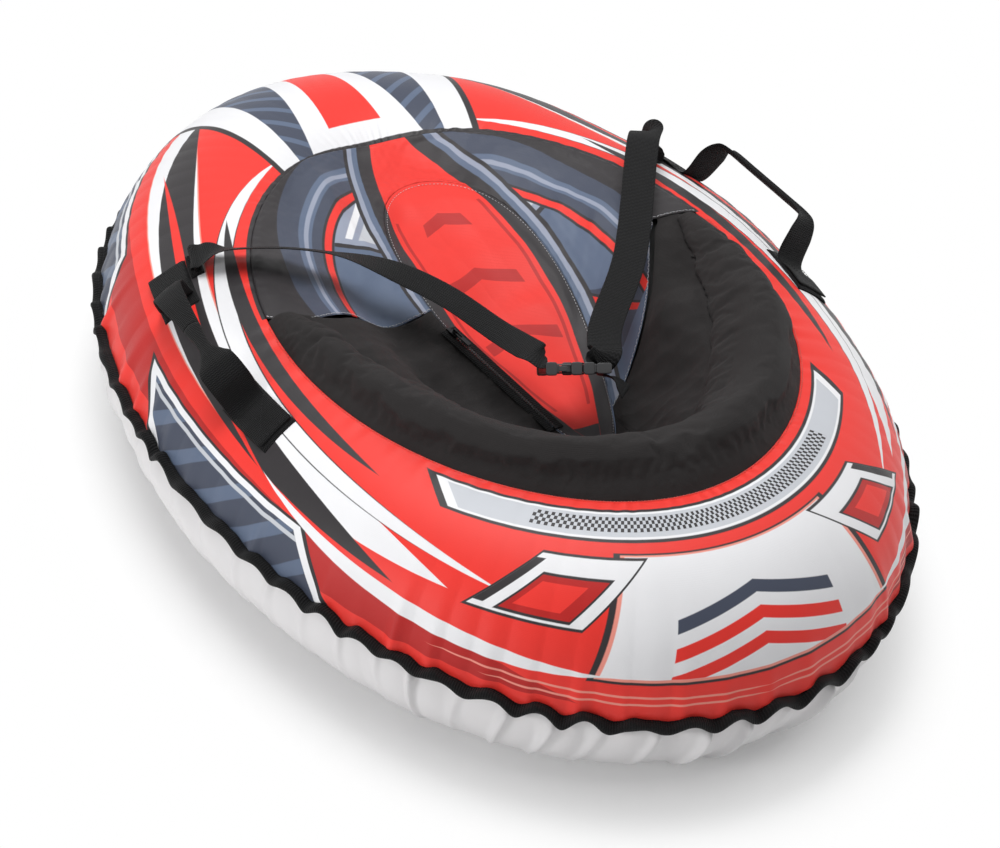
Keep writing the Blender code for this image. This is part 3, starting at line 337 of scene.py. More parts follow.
class Look:
    """One material under construction."""

    def __init__(self, name, roughness, sheen=0.0, sheen_roughness=0.5, specular=0.5, metallic=0.0):
        self.material = bpy.data.materials.new(name)
        self.material.use_nodes = True
        self.tree = self.material.node_tree
        self.shader = self.tree.nodes["Principled BSDF"]
        settings = {
            "Roughness": roughness,
            "Sheen Weight": sheen,
            "Sheen Roughness": sheen_roughness,
            "Specular IOR Level": specular,
            "Metallic": metallic,
        }
        for key, value in settings.items():
            self.shader.inputs[key].default_value = value

    def node(self, kind, **settings):
        made = self.tree.nodes.new(kind)
        for key, item in settings.items():
            setattr(made, key, item)
        return made

    def parts(self, socket, count):
        split = self.node("ShaderNodeSeparateXYZ")
        self.tree.links.new(socket, split.inputs[0])
        return tuple(Value(self.tree, split.outputs[i]) for i in range(count))

    def uv(self, layer):
        return self.parts(self.node("ShaderNodeUVMap", uv_map=layer).outputs["UV"], 2)

    def place(self):
        return self.parts(self.node("ShaderNodeTexCoord").outputs["Object"], 3)

    def noise(self, scale, detail=2.0):
        source = self.node("ShaderNodeTexCoord")
        made = self.node("ShaderNodeTexNoise")
        made.inputs["Scale"].default_value = scale
        made.inputs["Detail"].default_value = detail
        self.tree.links.new(source.outputs["Object"], made.inputs["Vector"])
        return Value(self.tree, made.outputs[0])

    def colour(self, value):
        made = self.node("ShaderNodeRGB")
        made.outputs[0].default_value = (*value, 1.0)
        return made.outputs[0]

    def mix(self, under, over, mask):
        """Lays a colour over another one, which is a socket, where the mask is 1."""
        made = self.node("ShaderNodeMix", data_type="RGBA")
        self.tree.links.new(mask.socket, made.inputs[0])
        self.tree.links.new(under, made.inputs[6])
        made.inputs[7].default_value = (*over, 1.0)
        return made.outputs[2]

    def lay(self, paint, mask):
        """Prints a colour over the layers so far."""
        self.printed = self.mix(self.printed, paint, mask)

    def shade(self, colour, value, strength=1.0):
        """Darkens or lightens a colour a little by a value about 0.5."""
        made = self.node("ShaderNodeHueSaturation")
        self.tree.links.new(colour, made.inputs["Color"])
        self.tree.links.new(((value - 0.5) * strength + 1.0).socket, made.inputs["Value"])
        return made.outputs[0]

    def finish(self, colour, height, distance, roughness=None):
        self.tree.links.new(colour, self.shader.inputs["Base Color"])
        if roughness is not None:
            self.tree.links.new(roughness.socket, self.shader.inputs["Roughness"])
        bump = self.node("ShaderNodeBump")
        bump.inputs["Distance"].default_value = distance
        self.tree.links.new(height.socket, bump.inputs["Height"])
        self.tree.links.new(bump.outputs[0], self.shader.inputs["Normal"])
        return self.material


def weave_height(look, pitch=1.3 * MM):
    """A fine plain weave from the piece's own place, for the light to catch."""
    x, y, z = look.place()
    turn = TURN / pitch
    return (x * turn).sin() * (y * turn).sin() * 0.5 + (z * turn).sin() * 0.25


def cover_print():
    """The upper cover's print, the same on both sides: blades, bars, chevrons and checks.

    It is laid out in metres: a runs from the middle of the rear to the middle of the front, 1.5 m, and
    b from the seam to the opening, 0.25 m.
    """
    look = Look("printed_cover", 0.46, sheen=0.06, sheen_roughness=0.4, specular=0.3)
    turn, t = look.uv("ring")
    x, y = look.uv("plan")
    half_turn = (turn + 0.75).fraction()
    a = (half_turn - 0.5).abs() * 3.0
    b = t * 0.25
    away = x.abs()
    line = 3.2 * MM
    look.printed = look.colour(RED)
    lay = look.lay

    def blade(paint, start, end, width, bend, fat, edge=None):
        """A shape pointed at both ends along a bent line from start to end, with a thin edge round it."""
        share = (a - start[0]) / (end[0] - start[0])
        middle = share * (end[1] - start[1]) + start[1] + share * (1 - share) * (4 * bend)
        body = 1 - (share * 2 - 1).abs().math("POWER", fat)
        off = (b - middle).abs()
        if edge is not None:
            lay(edge, (body * (width + line) - off).above(line * 0.4))
        lay(paint, (body * width - off).above())

    def shard(paint, low, high, floor, top, lean, edge=None):
        """A slanted bar between two places along the cover and two heights."""
        along = a - (b - floor) * lean
        if edge is not None:
            lay(edge, along.between(low - line, high + line) * b.between(floor - line, top + line))
        mask = along.between(low, high) * b.between(floor, top)
        lay(paint, mask)
        return mask

    # flank: long blades that fall from the front to the rear corner
    blade(DEEP_RED, (0.20, 0.020), (1.25, 0.050), 0.030, 0.03, 3.0)
    blade(WHITE, (1.36, 0.090), (0.36, 0.105), 0.034, 0.060, 3.0, SALMON)
    blade(INK, (1.30, 0.118), (0.42, 0.085), 0.024, 0.052, 3.0)
    blade(RED, (1.16, 0.120), (0.60, 0.100), 0.007, 0.050, 2.0)
    blade(WHITE, (1.20, 0.230), (0.30, 0.120), 0.012, 0.020, 2.5, INK)
    blade(INK, (1.02, 0.215), (0.50, 0.195), 0.011, 0.020, 2.5)
    # hatched slate panels on the seam, framed in white
    hatch = (a * 15 + b * 13).fraction().between(0.2, 0.55, 0.012)
    for low, high, top in ((0.42, 0.70, 0.074), (0.93, 1.15, 0.066)):
        shard(INK, low - 0.020, high + 0.020, -0.1, top + 0.013, 0.75)
        shard(WHITE, low - 0.013, high + 0.013, -0.1, top + 0.009, 0.75)
        inside = shard(SLATE, low, high, -0.1, top, 0.75)
        lay(BLUE_GREY, inside * hatch)
        lay(PALE, inside * b.between(top - 0.012, top - 0.006))
    # rear: a widening white field, framed in ink and salmon, with chevrons
    half = 0.085 + 0.45 * (0.25 - b)
    rear = (0 - y).above(0.0, 1 * MM)
    for paint, wider, low, high in (
        (INK, 0.010, 0.046, 0.180),
        (SALMON, 0.004, 0.049, 0.178),
        (WHITE, 0.0, 0.052, 0.176),
    ):
        field = rear * b.between(low, high)
        lay(paint, (half + wider - away).above() * field)
    for level, paint in ((0.074, RED), (0.100, RED), (0.126, SLATE)):
        point = b - level + away * 0.30
        lay(paint, point.between(0.0, 0.013) * (half * 0.62 - away).above() * field)
    # rear: pale band under the backrest with checks
    shard(INK, -1, 0.412, 0.192, 0.236, 1.1)
    shard(WHITE, -1, 0.404, 0.196, 0.232, 1.1)
    band = shard(PALE, -1, 0.392, 0.199, 0.229, 1.1)
    cells = ((half_turn * 300).fraction().above(0.5, 0.02) - (b * 100).fraction().above(0.5, 0.02)).abs()
    lay(INK, band * cells * b.between(0.205, 0.225, 0.3 * MM) * (0.30 - a).above())
    # rear corners: slanted shards and thin lines
    shard(WHITE, 0.205, 0.335, 0.098, 0.172, -0.9, INK)
    shard(DEEP_RED, 0.220, 0.300, 0.104, 0.148, -0.9, INK)
    shard(RED, 0.232, 0.286, 0.111, 0.141, -0.9)
    shard(INK, 0.318, 0.330, 0.104, 0.166, -0.9)
    blade(WHITE, (0.17, 0.052), (0.62, 0.110), 0.010, -0.018, 2.0)
    blade(SALMON, (0.0, 0.030), (0.36, 0.036), 0.0012, 0.0, 8.0)
    blade(SALMON, (0.0, 0.022), (0.30, 0.026), 0.0012, 0.0, 8.0)
    # front: black band on the seam with pale dashes, white nose, slate cheeks and red lines
    shard(INK, 1.26, 2.0, 0.012, 0.060, 0.8, PALE)
    dashes = (half_turn * 96).fraction().between(0.22, 0.78, 0.02) * b.between(0.024, 0.048)
    dashes = dashes * (a - 1.29).above()
    lay(SLATE, dashes)
    lay(WHITE, dashes * b.between(0.024, 0.028, 0.4 * MM))
    front = y.above(0.0, 1 * MM) * b.above(0.072)
    lay(INK, (0.205 - away - b * 0.30).above() * front)
    lay(WHITE, (0.198 - away - b * 0.30).above() * front)
    cheek = (0.140 - away - b * 0.18).above() * front * (b - 0.10 + away * 0.25).above()
    lay(SLATE, cheek)
    lay(BLUE_GREY, cheek * (b * 40 + away * 30).fraction().between(0.3, 0.6, 0.02))
    lay(WHITE, (0.034 + b * 0.16 - away).above() * front)
    lay(RED, (0.017 + b * 0.08 - away).above() * front * b.between(0.090, 0.222))
    # a dark line along the opening in front
    lay(INK, b.above(0.2435, 0.4 * MM) * (a - 0.80).above())
    return look.finish(look.shade(look.printed, look.noise(9.0, 3.0), 0.10), weave_height(look), 0.06 * MM)


def seat_print():
    """The seat's print: bands along the opening, slate sides and a red tongue with dark and steel edges."""
    look = Look("printed_seat", 0.5, sheen=0.06, specular=0.3)
    x, y = look.uv("plan")
    side = (x - PANEL_SHIFT).abs()
    look.printed = look.colour(SLATE)
    lay = look.lay

    def turned(value, reach):
        return (value * value) * (1 / reach**2)

    # bands round the opening, from the outside in, and the ground inside them
    round_seat = (turned(x, 0.235) + turned(y - 0.02, 0.335)).math("POWER", 0.5)
    for paint, low, high in (
        (INK, 0.955, 9.0),
        (BLUE_GREY, 0.80, 0.86),
        (STEEL, 0.815, 0.835),
        (INK, 0.70, 0.755),
        (RED, 0.712, 0.743),
        (BLUE_GREY, -9.0, 0.70),
    ):
        lay(paint, round_seat.between(low, high, 0.002))
    # inside them: cool greys that lighten to the front, with slanted facets
    inside = 1 - round_seat.above(0.70, 0.002)
    ahead = y - side * 0.35
    facet = side * 0.8 + y * 0.6
    slant = y * 0.5 + side
    behind = (0.09 - y).above()
    for paint, mask in (
        (SLATE, (y * 0.9 + side).between(0.03, 0.12)),
        (STEEL, ahead.above(0.115)),
        (PALE, facet.between(0.165, 0.198) * ahead.above(0.125)),
        (WHITE, facet.between(0.205, 0.213) * ahead.above(0.125)),
        (INK, ahead.between(0.108, 0.115)),
        (RED, slant.between(0.098, 0.106) * behind),
        (INK, slant.between(0.106, 0.109) * behind),
    ):
        lay(paint, inside * mask)
    # rear sides: a dark red wedge and a blue one
    rear = (-0.02 - y).above() * x.above(0.10)
    lay(DEEP_RED, rear * (x * 0.8 - y).between(0.205, 0.235))
    lay(BLUE_GREY, rear * (x * 0.8 - y).between(0.165, 0.198))
    # the middle: a red tongue in dark and steel edges, with bars like chevrons
    tongue = side + (y - 0.04) * (y - 0.04) * 0.9 - y * 0.10
    for paint, reach in ((INK, 0.100), (STEEL, 0.095), (BLUE_GREY, 0.089), (INK, 0.082), (RED, 0.064)):
        lay(paint, (reach - tongue).above())
    lay(DEEP_RED, tongue.between(0.054, 0.058) * y.between(-0.12, 0.2))
    bars = (y * 11 + side * 5).fraction().between(0.0, 0.2, 0.006)
    lay(DEEP_RED, bars * (0.048 - tongue - y * 0.12).above() * y.above(-0.02))
    lay(INK, (-0.150 - y).above() * (0.064 - tongue).above())
    return look.finish(look.shade(look.printed, look.noise(14.0, 3.0), 0.14), weave_height(look), 0.07 * MM)


def plain_cloth(name, base, roughness, pitch, sheen, depth=0.12 * MM):
    look = Look(name, roughness, sheen=sheen, specular=0.12)
    fine = look.noise(900.0, 1.0)
    colour = look.shade(look.colour(base), look.noise(18.0, 4.0) * 0.5 + fine * 0.5, 0.48)
    return look.finish(colour, weave_height(look, pitch) + fine * 0.6, depth)


def slick_pvc():
    """The white coated sheeting, with a faint weave under its coat."""
    look = Look("slick_pvc", 0.42, specular=0.3)
    colour = look.shade(look.colour((0.70, 0.688, 0.695)), look.noise(6.0, 4.0), 0.06)
    rough = look.noise(40.0, 3.0) * 0.12 + 0.36
    return look.finish(colour, look.noise(260.0, 3.0) + weave_height(look, 2.2 * MM) * 0.2, 0.10 * MM, rough)


def webbing_look(name, base, rib=2.4 * MM, across=1.0):
    """Woven tape over its own length and width in metres: slanting cords in pairs, with painted glints on
    top: a lighter colour on the cords' crowns that stands in for highlights.
    """
    look = Look(name, 0.62, sheen=0.03, specular=0.12)
    along, wide = look.uv("strip")
    turn = TURN / rib
    slant = (along * turn + (wide * turn * 0.5).sin() * across).sin()
    cords = (wide * turn * 1.4 + (along * turn * 0.5).sin() * 0.7).sin()
    height = slant * 0.65 + cords * 0.35
    crown = height.above(0.28, 0.22)
    colour = look.shade(look.colour(base), look.noise(60.0, 3.0), 0.4)
    # painted highlight: the cords' crowns get a lighter colour where light would glint on them
    painted_glint = tuple(c * 6.5 for c in base)
    colour = look.mix(colour, painted_glint, crown * (look.noise(700.0, 1.0) * 0.7 + 0.25))
    return look.finish(colour, height, 0.5 * MM)


def moulded_plastic():
    """Black plastic with a fine grain and slightly uneven gloss."""
    look = Look("moulded_plastic", 0.30)
    colour = look.shade(look.colour((0.030, 0.030, 0.032)), look.noise(30.0, 3.0), 0.4)
    return look.finish(colour, look.noise(1500.0), 0.05 * MM, look.noise(50.0) * 0.12 + 0.26)


def plain_metal(name, base, roughness):
    look = Look(name, roughness, metallic=1.0)
    colour = look.shade(look.colour(base), look.noise(80.0, 3.0), 0.2)
    return look.finish(colour, look.noise(700.0), 0.02 * MM)


def plain_rubber():
    look = Look("butyl_rubber", 0.62)
    colour = look.shade(look.colour((0.022, 0.022, 0.022)), look.noise(25.0, 3.0), 0.4)
    return look.finish(colour, look.noise(600.0), 0.08 * MM)


# Mesh builders

def add_object(name, points, faces, look, layers=None):
    """A smooth mesh object. layers gives each UV layer a pair for every corner of every face, in order."""
    mesh = bpy.data.meshes.new(name)
    mesh.from_pydata([tuple(p) for p in np.asarray(points).tolist()], [], faces)
    for layer, pairs in (layers or {}).items():
        made = mesh.uv_layers.new(name=layer)
        made.data.foreach_set("uv", np.asarray(pairs, dtype=np.float32).ravel())
    mesh.shade_smooth()
    mesh.materials.append(look)
    obj = bpy.data.objects.new(name, mesh)
    bpy.context.scene.collection.objects.link(obj)
    return obj


def grid_object(name, points, look, layers, closed=False, thickness=0.0, offset=-1.0):
    """A sheet over a grid of points. closed joins its last row to its first.

    layers holds a pair for each point, with one row more than the points where the sheet is closed.
    """
    rows, columns = points.shape[:2]
    faces = []
    corners = []
    for i in range(rows if closed else rows - 1):
        after = (i + 1) % rows
        for j in range(columns - 1):
            faces.append((i * columns + j, after * columns + j, after * columns + j + 1, i * columns + j + 1))
            corners += [(i, j), (i + 1, j), (i + 1, j + 1), (i, j + 1)]
    index = np.array(corners)
    pairs = {key: np.asarray(value)[index[:, 0], index[:, 1]] for key, value in layers.items()}
    obj = add_object(name, points.reshape(-1, 3), faces, look, pairs)
    if thickness:
        wall = obj.modifiers.new("thickness", "SOLIDIFY")
        wall.thickness = thickness
        wall.offset = offset
    return obj


def dressed(obj, body, *nodes, slot=None):
    """Ties a piece to its body and hides the CAD nodes that it stands for. slot is not used."""
    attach(obj, body)
    if nodes:
        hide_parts(*nodes)
    return obj


def cleaned(obj, merge=True):
    """Joins doubled points and turns every face outwards."""
    shape = bmesh.new()
    shape.from_mesh(obj.data)
    if merge:
        bmesh.ops.remove_doubles(shape, verts=shape.verts, dist=MERGE)
    bmesh.ops.recalc_face_normals(shape, faces=shape.faces)
    shape.to_mesh(obj.data)
    shape.free()


def applied(obj):
    """Makes an object's modifiers part of its mesh."""
    graph = bpy.context.evaluated_depsgraph_get()
    made = bpy.data.meshes.new_from_object(obj.evaluated_get(graph))
    obj.modifiers.clear()
    obj.data = made


def positions(obj):
    flat = np.empty(len(obj.data.vertices) * 3)
    obj.data.vertices.foreach_get("co", flat)
    return flat.reshape(-1, 3)


def vertex_normals(obj):
    flat = np.empty(len(obj.data.vertices) * 3, dtype=np.float32)
    obj.data.vertex_normals.foreach_get("vector", flat)
    return flat.reshape(-1, 3).astype(float)


def place_points(obj, points):
    obj.data.vertices.foreach_set("co", np.asarray(points, dtype=np.float32).ravel())
    obj.data.update()


def closed_rows(values):
    """Repeats the first row after the last, for the layers of a closed grid."""
    return np.concatenate([values, values[:1]], axis=0)


def plan_layer(points, closed=True):
    plan = points[..., :2]
    return {"plan": closed_rows(plan) if closed else plan}


def ring_grid(u, low, high, rows):
    """Angles (u, v) of a grid over the ring between two section angles, and the share of the way across."""
    share = np.linspace(0, 1, rows)[None, :]
    return u[:, None], low[:, None] + (high - low)[:, None] * share, share


def seam_phase(u):
    """The phase of the binding's waves. They bunch and spread a little, as gathered tape does."""
    return WAVE_COUNT * u + 1.3 * wander(len(u), 5, 21, 25)


def seam_wave(u):
    """How far the seam waves up and down: more at the ends of the tube than along its flanks."""
    phase = seam_phase(u)
    size = 1 + 0.55 * wander(len(u), 10, 34, 26)
    calm = 0.66 + 0.34 * np.sin(u) ** 2
    return (np.sin(phase) + 0.12 * np.sin(2 * phase + 0.9)) * size * calm * 7.0 * MM


def follow_seam(points, u, away):
    """Lifts a cover's edge with the binding's waves, fading inwards."""
    points[..., 2] += (0.55 * seam_wave(u))[:, None] * np.exp(-away / (11 * MM))


def ridges(u, away, slant, narrow):
    """Gathered folds that stand out from the tube, one to each wave of the binding. slant leans them."""
    lean = slant * (0.85 + 0.35 * wander(len(u), 3, 9, 27))[:, None] * (away / (30 * MM)) ** 0.8
    wave = np.sin(seam_phase(u)[:, None] + lean + 0.9 + 2.4 * abs(slant))
    return (0.5 + 0.5 * wave) ** narrow


def fading(away, reach, start):
    """How strong folds are at a distance from an edge: they begin within start and die away over reach."""
    return np.exp(-away / reach) * smooth(away / start)


def make_top_cover(look):
    """The printed cover from the seam to the opening, gathered along both of its edges."""
    count, rows = ((1440, 110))
    u = around(count)
    uu, vv, share = ring_grid(u, seam_angle(u) + EDGE_GAP / SECTION_HALF, opening_angle(u), rows)
    away = (vv - vv[:, :1]) * SECTION_HALF
    to_edge = (vv[:, -1:] - vv) * SECTION_HALF
    strength = uneven(count, 9, 40, 6, base=1, share=0.6) * 4.6 * MM
    folds = ridges(u, away, slant=0.15, narrow=3.0) * strength * fading(away, 30 * MM, 7 * MM)
    folds = folds + uneven(count, 22, 50, 7) * 2.2 * MM * fading(away, 75 * MM, 15 * MM)
    puckers = wander(count, 60, 130, 8)[:, None] * 0.5 * MM * fading(to_edge, 14 * MM, 3 * MM)
    sway = (1 + wander(count, 2, 9, 9)[:, None]) * 1.0 * MM * np.sin(math.pi * share)
    points = ring_points(uu, vv) + ring_normals(uu, vv) * (folds + puckers + sway)[..., None]
    follow_seam(points, u, away)
    turn = np.concatenate([u, [u[0] + TURN]]) / TURN
    layers = {"ring": stacked(turn[:, None], share), **plan_layer(points)}
    obj = grid_object("cover_top", points, look, layers, closed=True, thickness=COVER_THICKNESS)
    dressed(obj, "tube", "top_cover")


def make_bottom_cover(look):
    """The slick cover from the seam to the ground, with slanted folds that settle flat underneath."""
    count, rows = ((1440, 80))
    u = around(count)
    ground = -math.asin(CENTRE_HEIGHT / SECTION_RISE)
    uu, vv, share = ring_grid(u, seam_angle(u) - EDGE_GAP / SECTION_HALF, np.full(count, ground), rows)
    away = (vv[:, :1] - vv) * SECTION_HALF
    gentle = (0.45 + 0.55 * np.sin(u) ** 2)[:, None]
    folds = ridges(u, away, slant=1.0, narrow=9.0) * uneven(count, 9, 40, 16, base=1, share=0.55) * 10 * MM
    folds = folds * fading(away, 90 * MM, 16 * MM) * gentle
    crease = np.abs(np.sin(seam_phase(u)[:, None] / 2 + 0.5 * (away / (40 * MM)) ** 0.8 + 0.4))
    small = crease * uneven(count, 6, 30, 18) * 4.5 * MM * fading(away, 60 * MM, 16 * MM) * gentle
    broad = uneven(count, 18, 42, 17) * 3.0 * MM * fading(away, 95 * MM, 40 * MM)
    # flat on the ground and under the tow loop's patch
    beside_patch = smooth((np.abs(u - math.pi / 2) - 0.20) / 0.14)[:, None]
    settle = smooth((1 - share) / 0.25) * beside_patch
    points = ring_points(uu, vv) + ring_normals(uu, vv) * ((folds + small + broad) * settle)[..., None]
    follow_seam(points, u, away)
    points[..., 2] = np.maximum(points[..., 2], 0.0)
    underside = [points[:, -1] * (scale, scale, 0.0) for scale in (0.97, 0.9, 0.75, 0.5, 0.25, 0.02)]
    points = np.concatenate([points, np.stack(underside, 1)], axis=1)
    plan = plan_layer(points)
    obj = grid_object("cover_bottom", points, look, plan, closed=True, thickness=-COVER_THICKNESS)
    dressed(obj, "tube", "bottom_cover")


def make_binding(look):
    """The gathered tape over the seam: a thick folded strip whose edge waves up and down."""
    count = WAVE_COUNT * 24
    u = around(count)
    phase = seam_phase(u)
    wave = seam_wave(u)
    across = np.concatenate([outwards(u), np.zeros((count, 1))], 1)
    root = ring_points(u, seam_angle(u))
    reach = (12.6 + 1.5 * np.sin(phase + 1.1)) * MM
    half = (5.3 + 0.8 * np.sin(2 * phase + 0.4) + 0.5 * wander(count, 40, 110, 28)) * MM
    steps = 14
    outline = []
    for k in range(steps + 1):
        turn = math.pi * (k / steps - 0.5)
        share = 0.05 if k in (0, steps) else 0.16 + 0.84 * math.cos(turn) ** 0.7
        height = half * np.sign(turn) * abs(math.sin(turn)) ** 0.75 + wave * (0.55 + 0.45 * share)
        point = root + across * (reach * share)[:, None]
        outline.append(point + np.stack([np.zeros(count), np.zeros(count), height], -1))
    points = np.stack(outline, 1)
    length = np.append(run_lengths(root), BINDING_LENGTH)
    strip = stacked(length[:, None], np.linspace(0, 30 * MM, steps + 1)[None, :])
    obj = grid_object("binding_tape", points, look, {"strip": strip}, closed=True)
    dressed(obj, "tube", "edge_binding")


# Straps and stitches

def refined(values, factor):
    """Points on a smooth curve through these values, this many for each step."""
    values = np.asarray(values, float)
    padded = np.concatenate([2 * values[:1] - values[1:2], values, 2 * values[-1:] - values[-2:-1]])
    made = []
    for k in range(len(values) - 1):
        a, b, c, d = padded[k : k + 4]
        for step in range(factor):
            t = step / factor
            bend = (2 * a - 5 * b + 4 * c - d) * t * t / 2
            made.append(b + (c - a) * t / 2 + bend + (3 * b - a - 3 * c + d) * t * t * t / 2)
    made.append(values[-1])
    return np.array(made)


def run_lengths(line):
    steps = np.linalg.norm(np.diff(line, axis=0), axis=-1)
    return np.concatenate([[0.0], np.cumsum(steps)])


def strap(name, line, across, widths, thickness, look, factor, curl=0.0):
    """Webbing along a line: a flat rounded section with closed ends. curl bends it about its middle."""
    count = len(line)
    line = refined(line, factor)
    across = refined(across, factor)
    half, curl = (
        refined(np.broadcast_to(np.asarray(values, float), (count,))[:, None], factor)[:, 0]
        for values in (widths, curl)
    )
    half = half / 2
    along = unit(np.gradient(line, axis=0))
    side = unit(across - along * (along * across).sum(-1, keepdims=True))
    face = np.cross(along, side)
    turn = around(16)
    wide = np.sign(np.cos(turn)) * np.abs(np.cos(turn)) ** 0.45
    thick = np.sign(np.sin(turn)) * np.abs(np.sin(turn)) ** 0.6
    bend = curl[None, :] * (wide * wide)[:, None]
    inwards = 1 - 0.35 * np.abs(bend)
    points = (
        line[None]
        + side[None] * (wide[:, None] * half * inwards)[..., None]
        + face[None] * (thick[:, None] * thickness / 2 + bend * half)[..., None]
    )
    strip = stacked(run_lengths(line)[None, :], wide[:, None] * half[None, :])
    caps = [np.broadcast_to(end, points[:, :1].shape) for end in (line[:1], line[-1:])]
    points = np.concatenate([caps[0], points, caps[1]], 1)
    strip = np.concatenate([strip[:, :1], strip, strip[:, -1:]], 1)
    obj = grid_object(name, points, look, {"strip": closed_rows(strip)}, closed=True)
    cleaned(obj)
    return obj


def stitches(name, runs, look, slot, length, gap, radius, sway=0.0):
    """Rows of stitches, slanted by sway. Each run is a line of points and the outward direction at each."""
    points, faces = [], []
    spokes = 5
    for line, normals in runs:
        travelled = run_lengths(line)
        count = max(1, int(travelled[-1] / (length + gap)))
        starts = (np.arange(count) + 0.5) * travelled[-1] / count - length / 2

        def at(values, distance):
            return np.array([np.interp(distance, travelled, values[:, i]) for i in range(3)])

        for k, start in enumerate(starts):
            base = len(points)
            first = at(line, start)
            run = at(line, start + length) - first
            up = unit(at(normals, start + length / 2))
            side = np.cross(up, unit(run))
            lean = side * sway * (1 if k % 2 else -1)
            for share, size in ((0.0, 0.35), (0.2, 1.0), (0.8, 1.0), (1.0, 0.35)):
                centre = first + run * share + lean * (share * 2 - 1) + up * radius * (size - 0.5)
                for angle in around(spokes):
                    points.append(centre + (side * math.cos(angle) + up * math.sin(angle)) * radius * size)
            for ring in range(3):
                for j in range(spokes):
                    a = base + ring * spokes + j
                    b = base + ring * spokes + (j + 1) % spokes
                    faces.append((a, b, b + spokes, a + spokes))
    dressed(add_object(name, points, faces, look), "tube", slot=slot)


# The seat

def zip_line():
    """The zip's frame, as in the CAD: start, direction, sideways, outwards and length."""
    ends = np.array([panel_edges(math.radians(degrees)) for degrees in (-128, -178)])
    low, high = np.column_stack([ends, seat_heights(ends[:, 0], ends[:, 1])])
    along = unit(high - low)
    across = unit(np.array([along[1], -along[0], 0.0]))
    middle = (low + high) / 2
    sides = middle + across * np.array([[1.0], [-1.0]]) * ZIP_TAPE_WIDTH
    slope = np.subtract(*seat_heights(sides[:, 0], sides[:, 1]))
    across = unit(across * 2 * ZIP_TAPE_WIDTH + np.array([0.0, 0.0, 1.0]) * slope)
    across = unit(across - along * across.dot(along))
    normal = np.cross(across, along)
    if normal[2] < 0:
        normal = -normal
    places = np.array(
        [
            low + (high - low) * share + across * ZIP_TAPE_WIDTH * side / 2
            for share in np.linspace(0, 1, 21)
            for side in range(-2, 3)
        ]
    )
    proud = max(0.0, ((seat_heights(places[:, 0], places[:, 1]) - places[:, 2]) * normal[2]).max())
    return low + normal * (proud + 0.5 * MM), along, across, normal, float(np.linalg.norm(high - low))


ZIP_START, ZIP_ALONG, ZIP_ACROSS, ZIP_NORMAL, ZIP_LENGTH = zip_line()


def dressed_heights(x, y):
    """The seat's height, raised to carry the zip where that runs."""
    base = seat_heights(x, y)
    flat = unit(ZIP_ALONG[:2])
    dx, dy = x - ZIP_START[0], y - ZIP_START[1]
    run = dx * flat[0] + dy * flat[1]
    aside = np.abs(dx * flat[1] - dy * flat[0])
    reach = ZIP_LENGTH * np.linalg.norm(ZIP_ALONG[:2])
    beyond = np.maximum(0.0, np.maximum(-run, run - reach))
    near = smooth(1 - (np.hypot(np.maximum(0.0, aside - 12 * MM), beyond)) / (38 * MM))
    plane = ZIP_START[2] - (ZIP_NORMAL[0] * dx + ZIP_NORMAL[1] * dy) / ZIP_NORMAL[2]
    return base + (plane - 0.7 * MM - base) * near


def raised(x, y, heights, lift):
    """Points over the plan at these heights, moved out square to the surface they make, and its normals."""
    points = np.stack([x, y, heights], -1)
    normals = unit(np.cross(np.gradient(points, axis=0), np.gradient(points, axis=1)))
    normals = np.where(normals[..., 2:] < 0, -normals, normals)
    return points + normals * lift[..., None], normals


def surround_edge(u, share):
    """The opening's edge, and near the right side seam the backrest's foot, as its gusset has it."""
    ahead = smooth((u - RIGHT_SEAM) / SEAM_BLEND)
    beyond = smooth((share - 0.86) / 0.14)
    short = 1 - np.maximum(np.maximum(ahead, beyond), smooth((u - math.pi / 2) / 0.3))
    at_seam = np.minimum(u, RIGHT_SEAM)
    return opening_angle(u) + (bolster_foot(at_seam) - opening_angle(at_seam)) * short


def gusset_edge(u, share):
    """The backrest's foot, and a little further, so the cloth runs under the roll."""
    return bolster_foot(u) - 0.06


def seam_shift(u, share):
    """Leans the right side seam to the rear, as in the CAD, and lets both sag as sewn cloth does."""
    arc = np.sin(math.pi * share) * 0.055 + np.sin(3 * math.pi * share) * 0.022
    left = smooth(1 - np.abs((u % TURN) - LEFT_SEAM) / 0.5)
    right = smooth(1 - np.abs(u - RIGHT_SEAM) / 0.5)
    front = (LEFT_SEAM - u) / (LEFT_SEAM - RIGHT_SEAM)
    rear = (u - REAR_SEAM) / (RIGHT_SEAM - REAR_SEAM)
    lean = np.clip(np.where(u > RIGHT_SEAM, front, rear), 0, 1) * RIGHT_SEAM_LEAN
    return arc * left + arc * 0.4 * right + lean * np.clip(1 - share / SEAM_LEAN_SHARE, 0, 1)


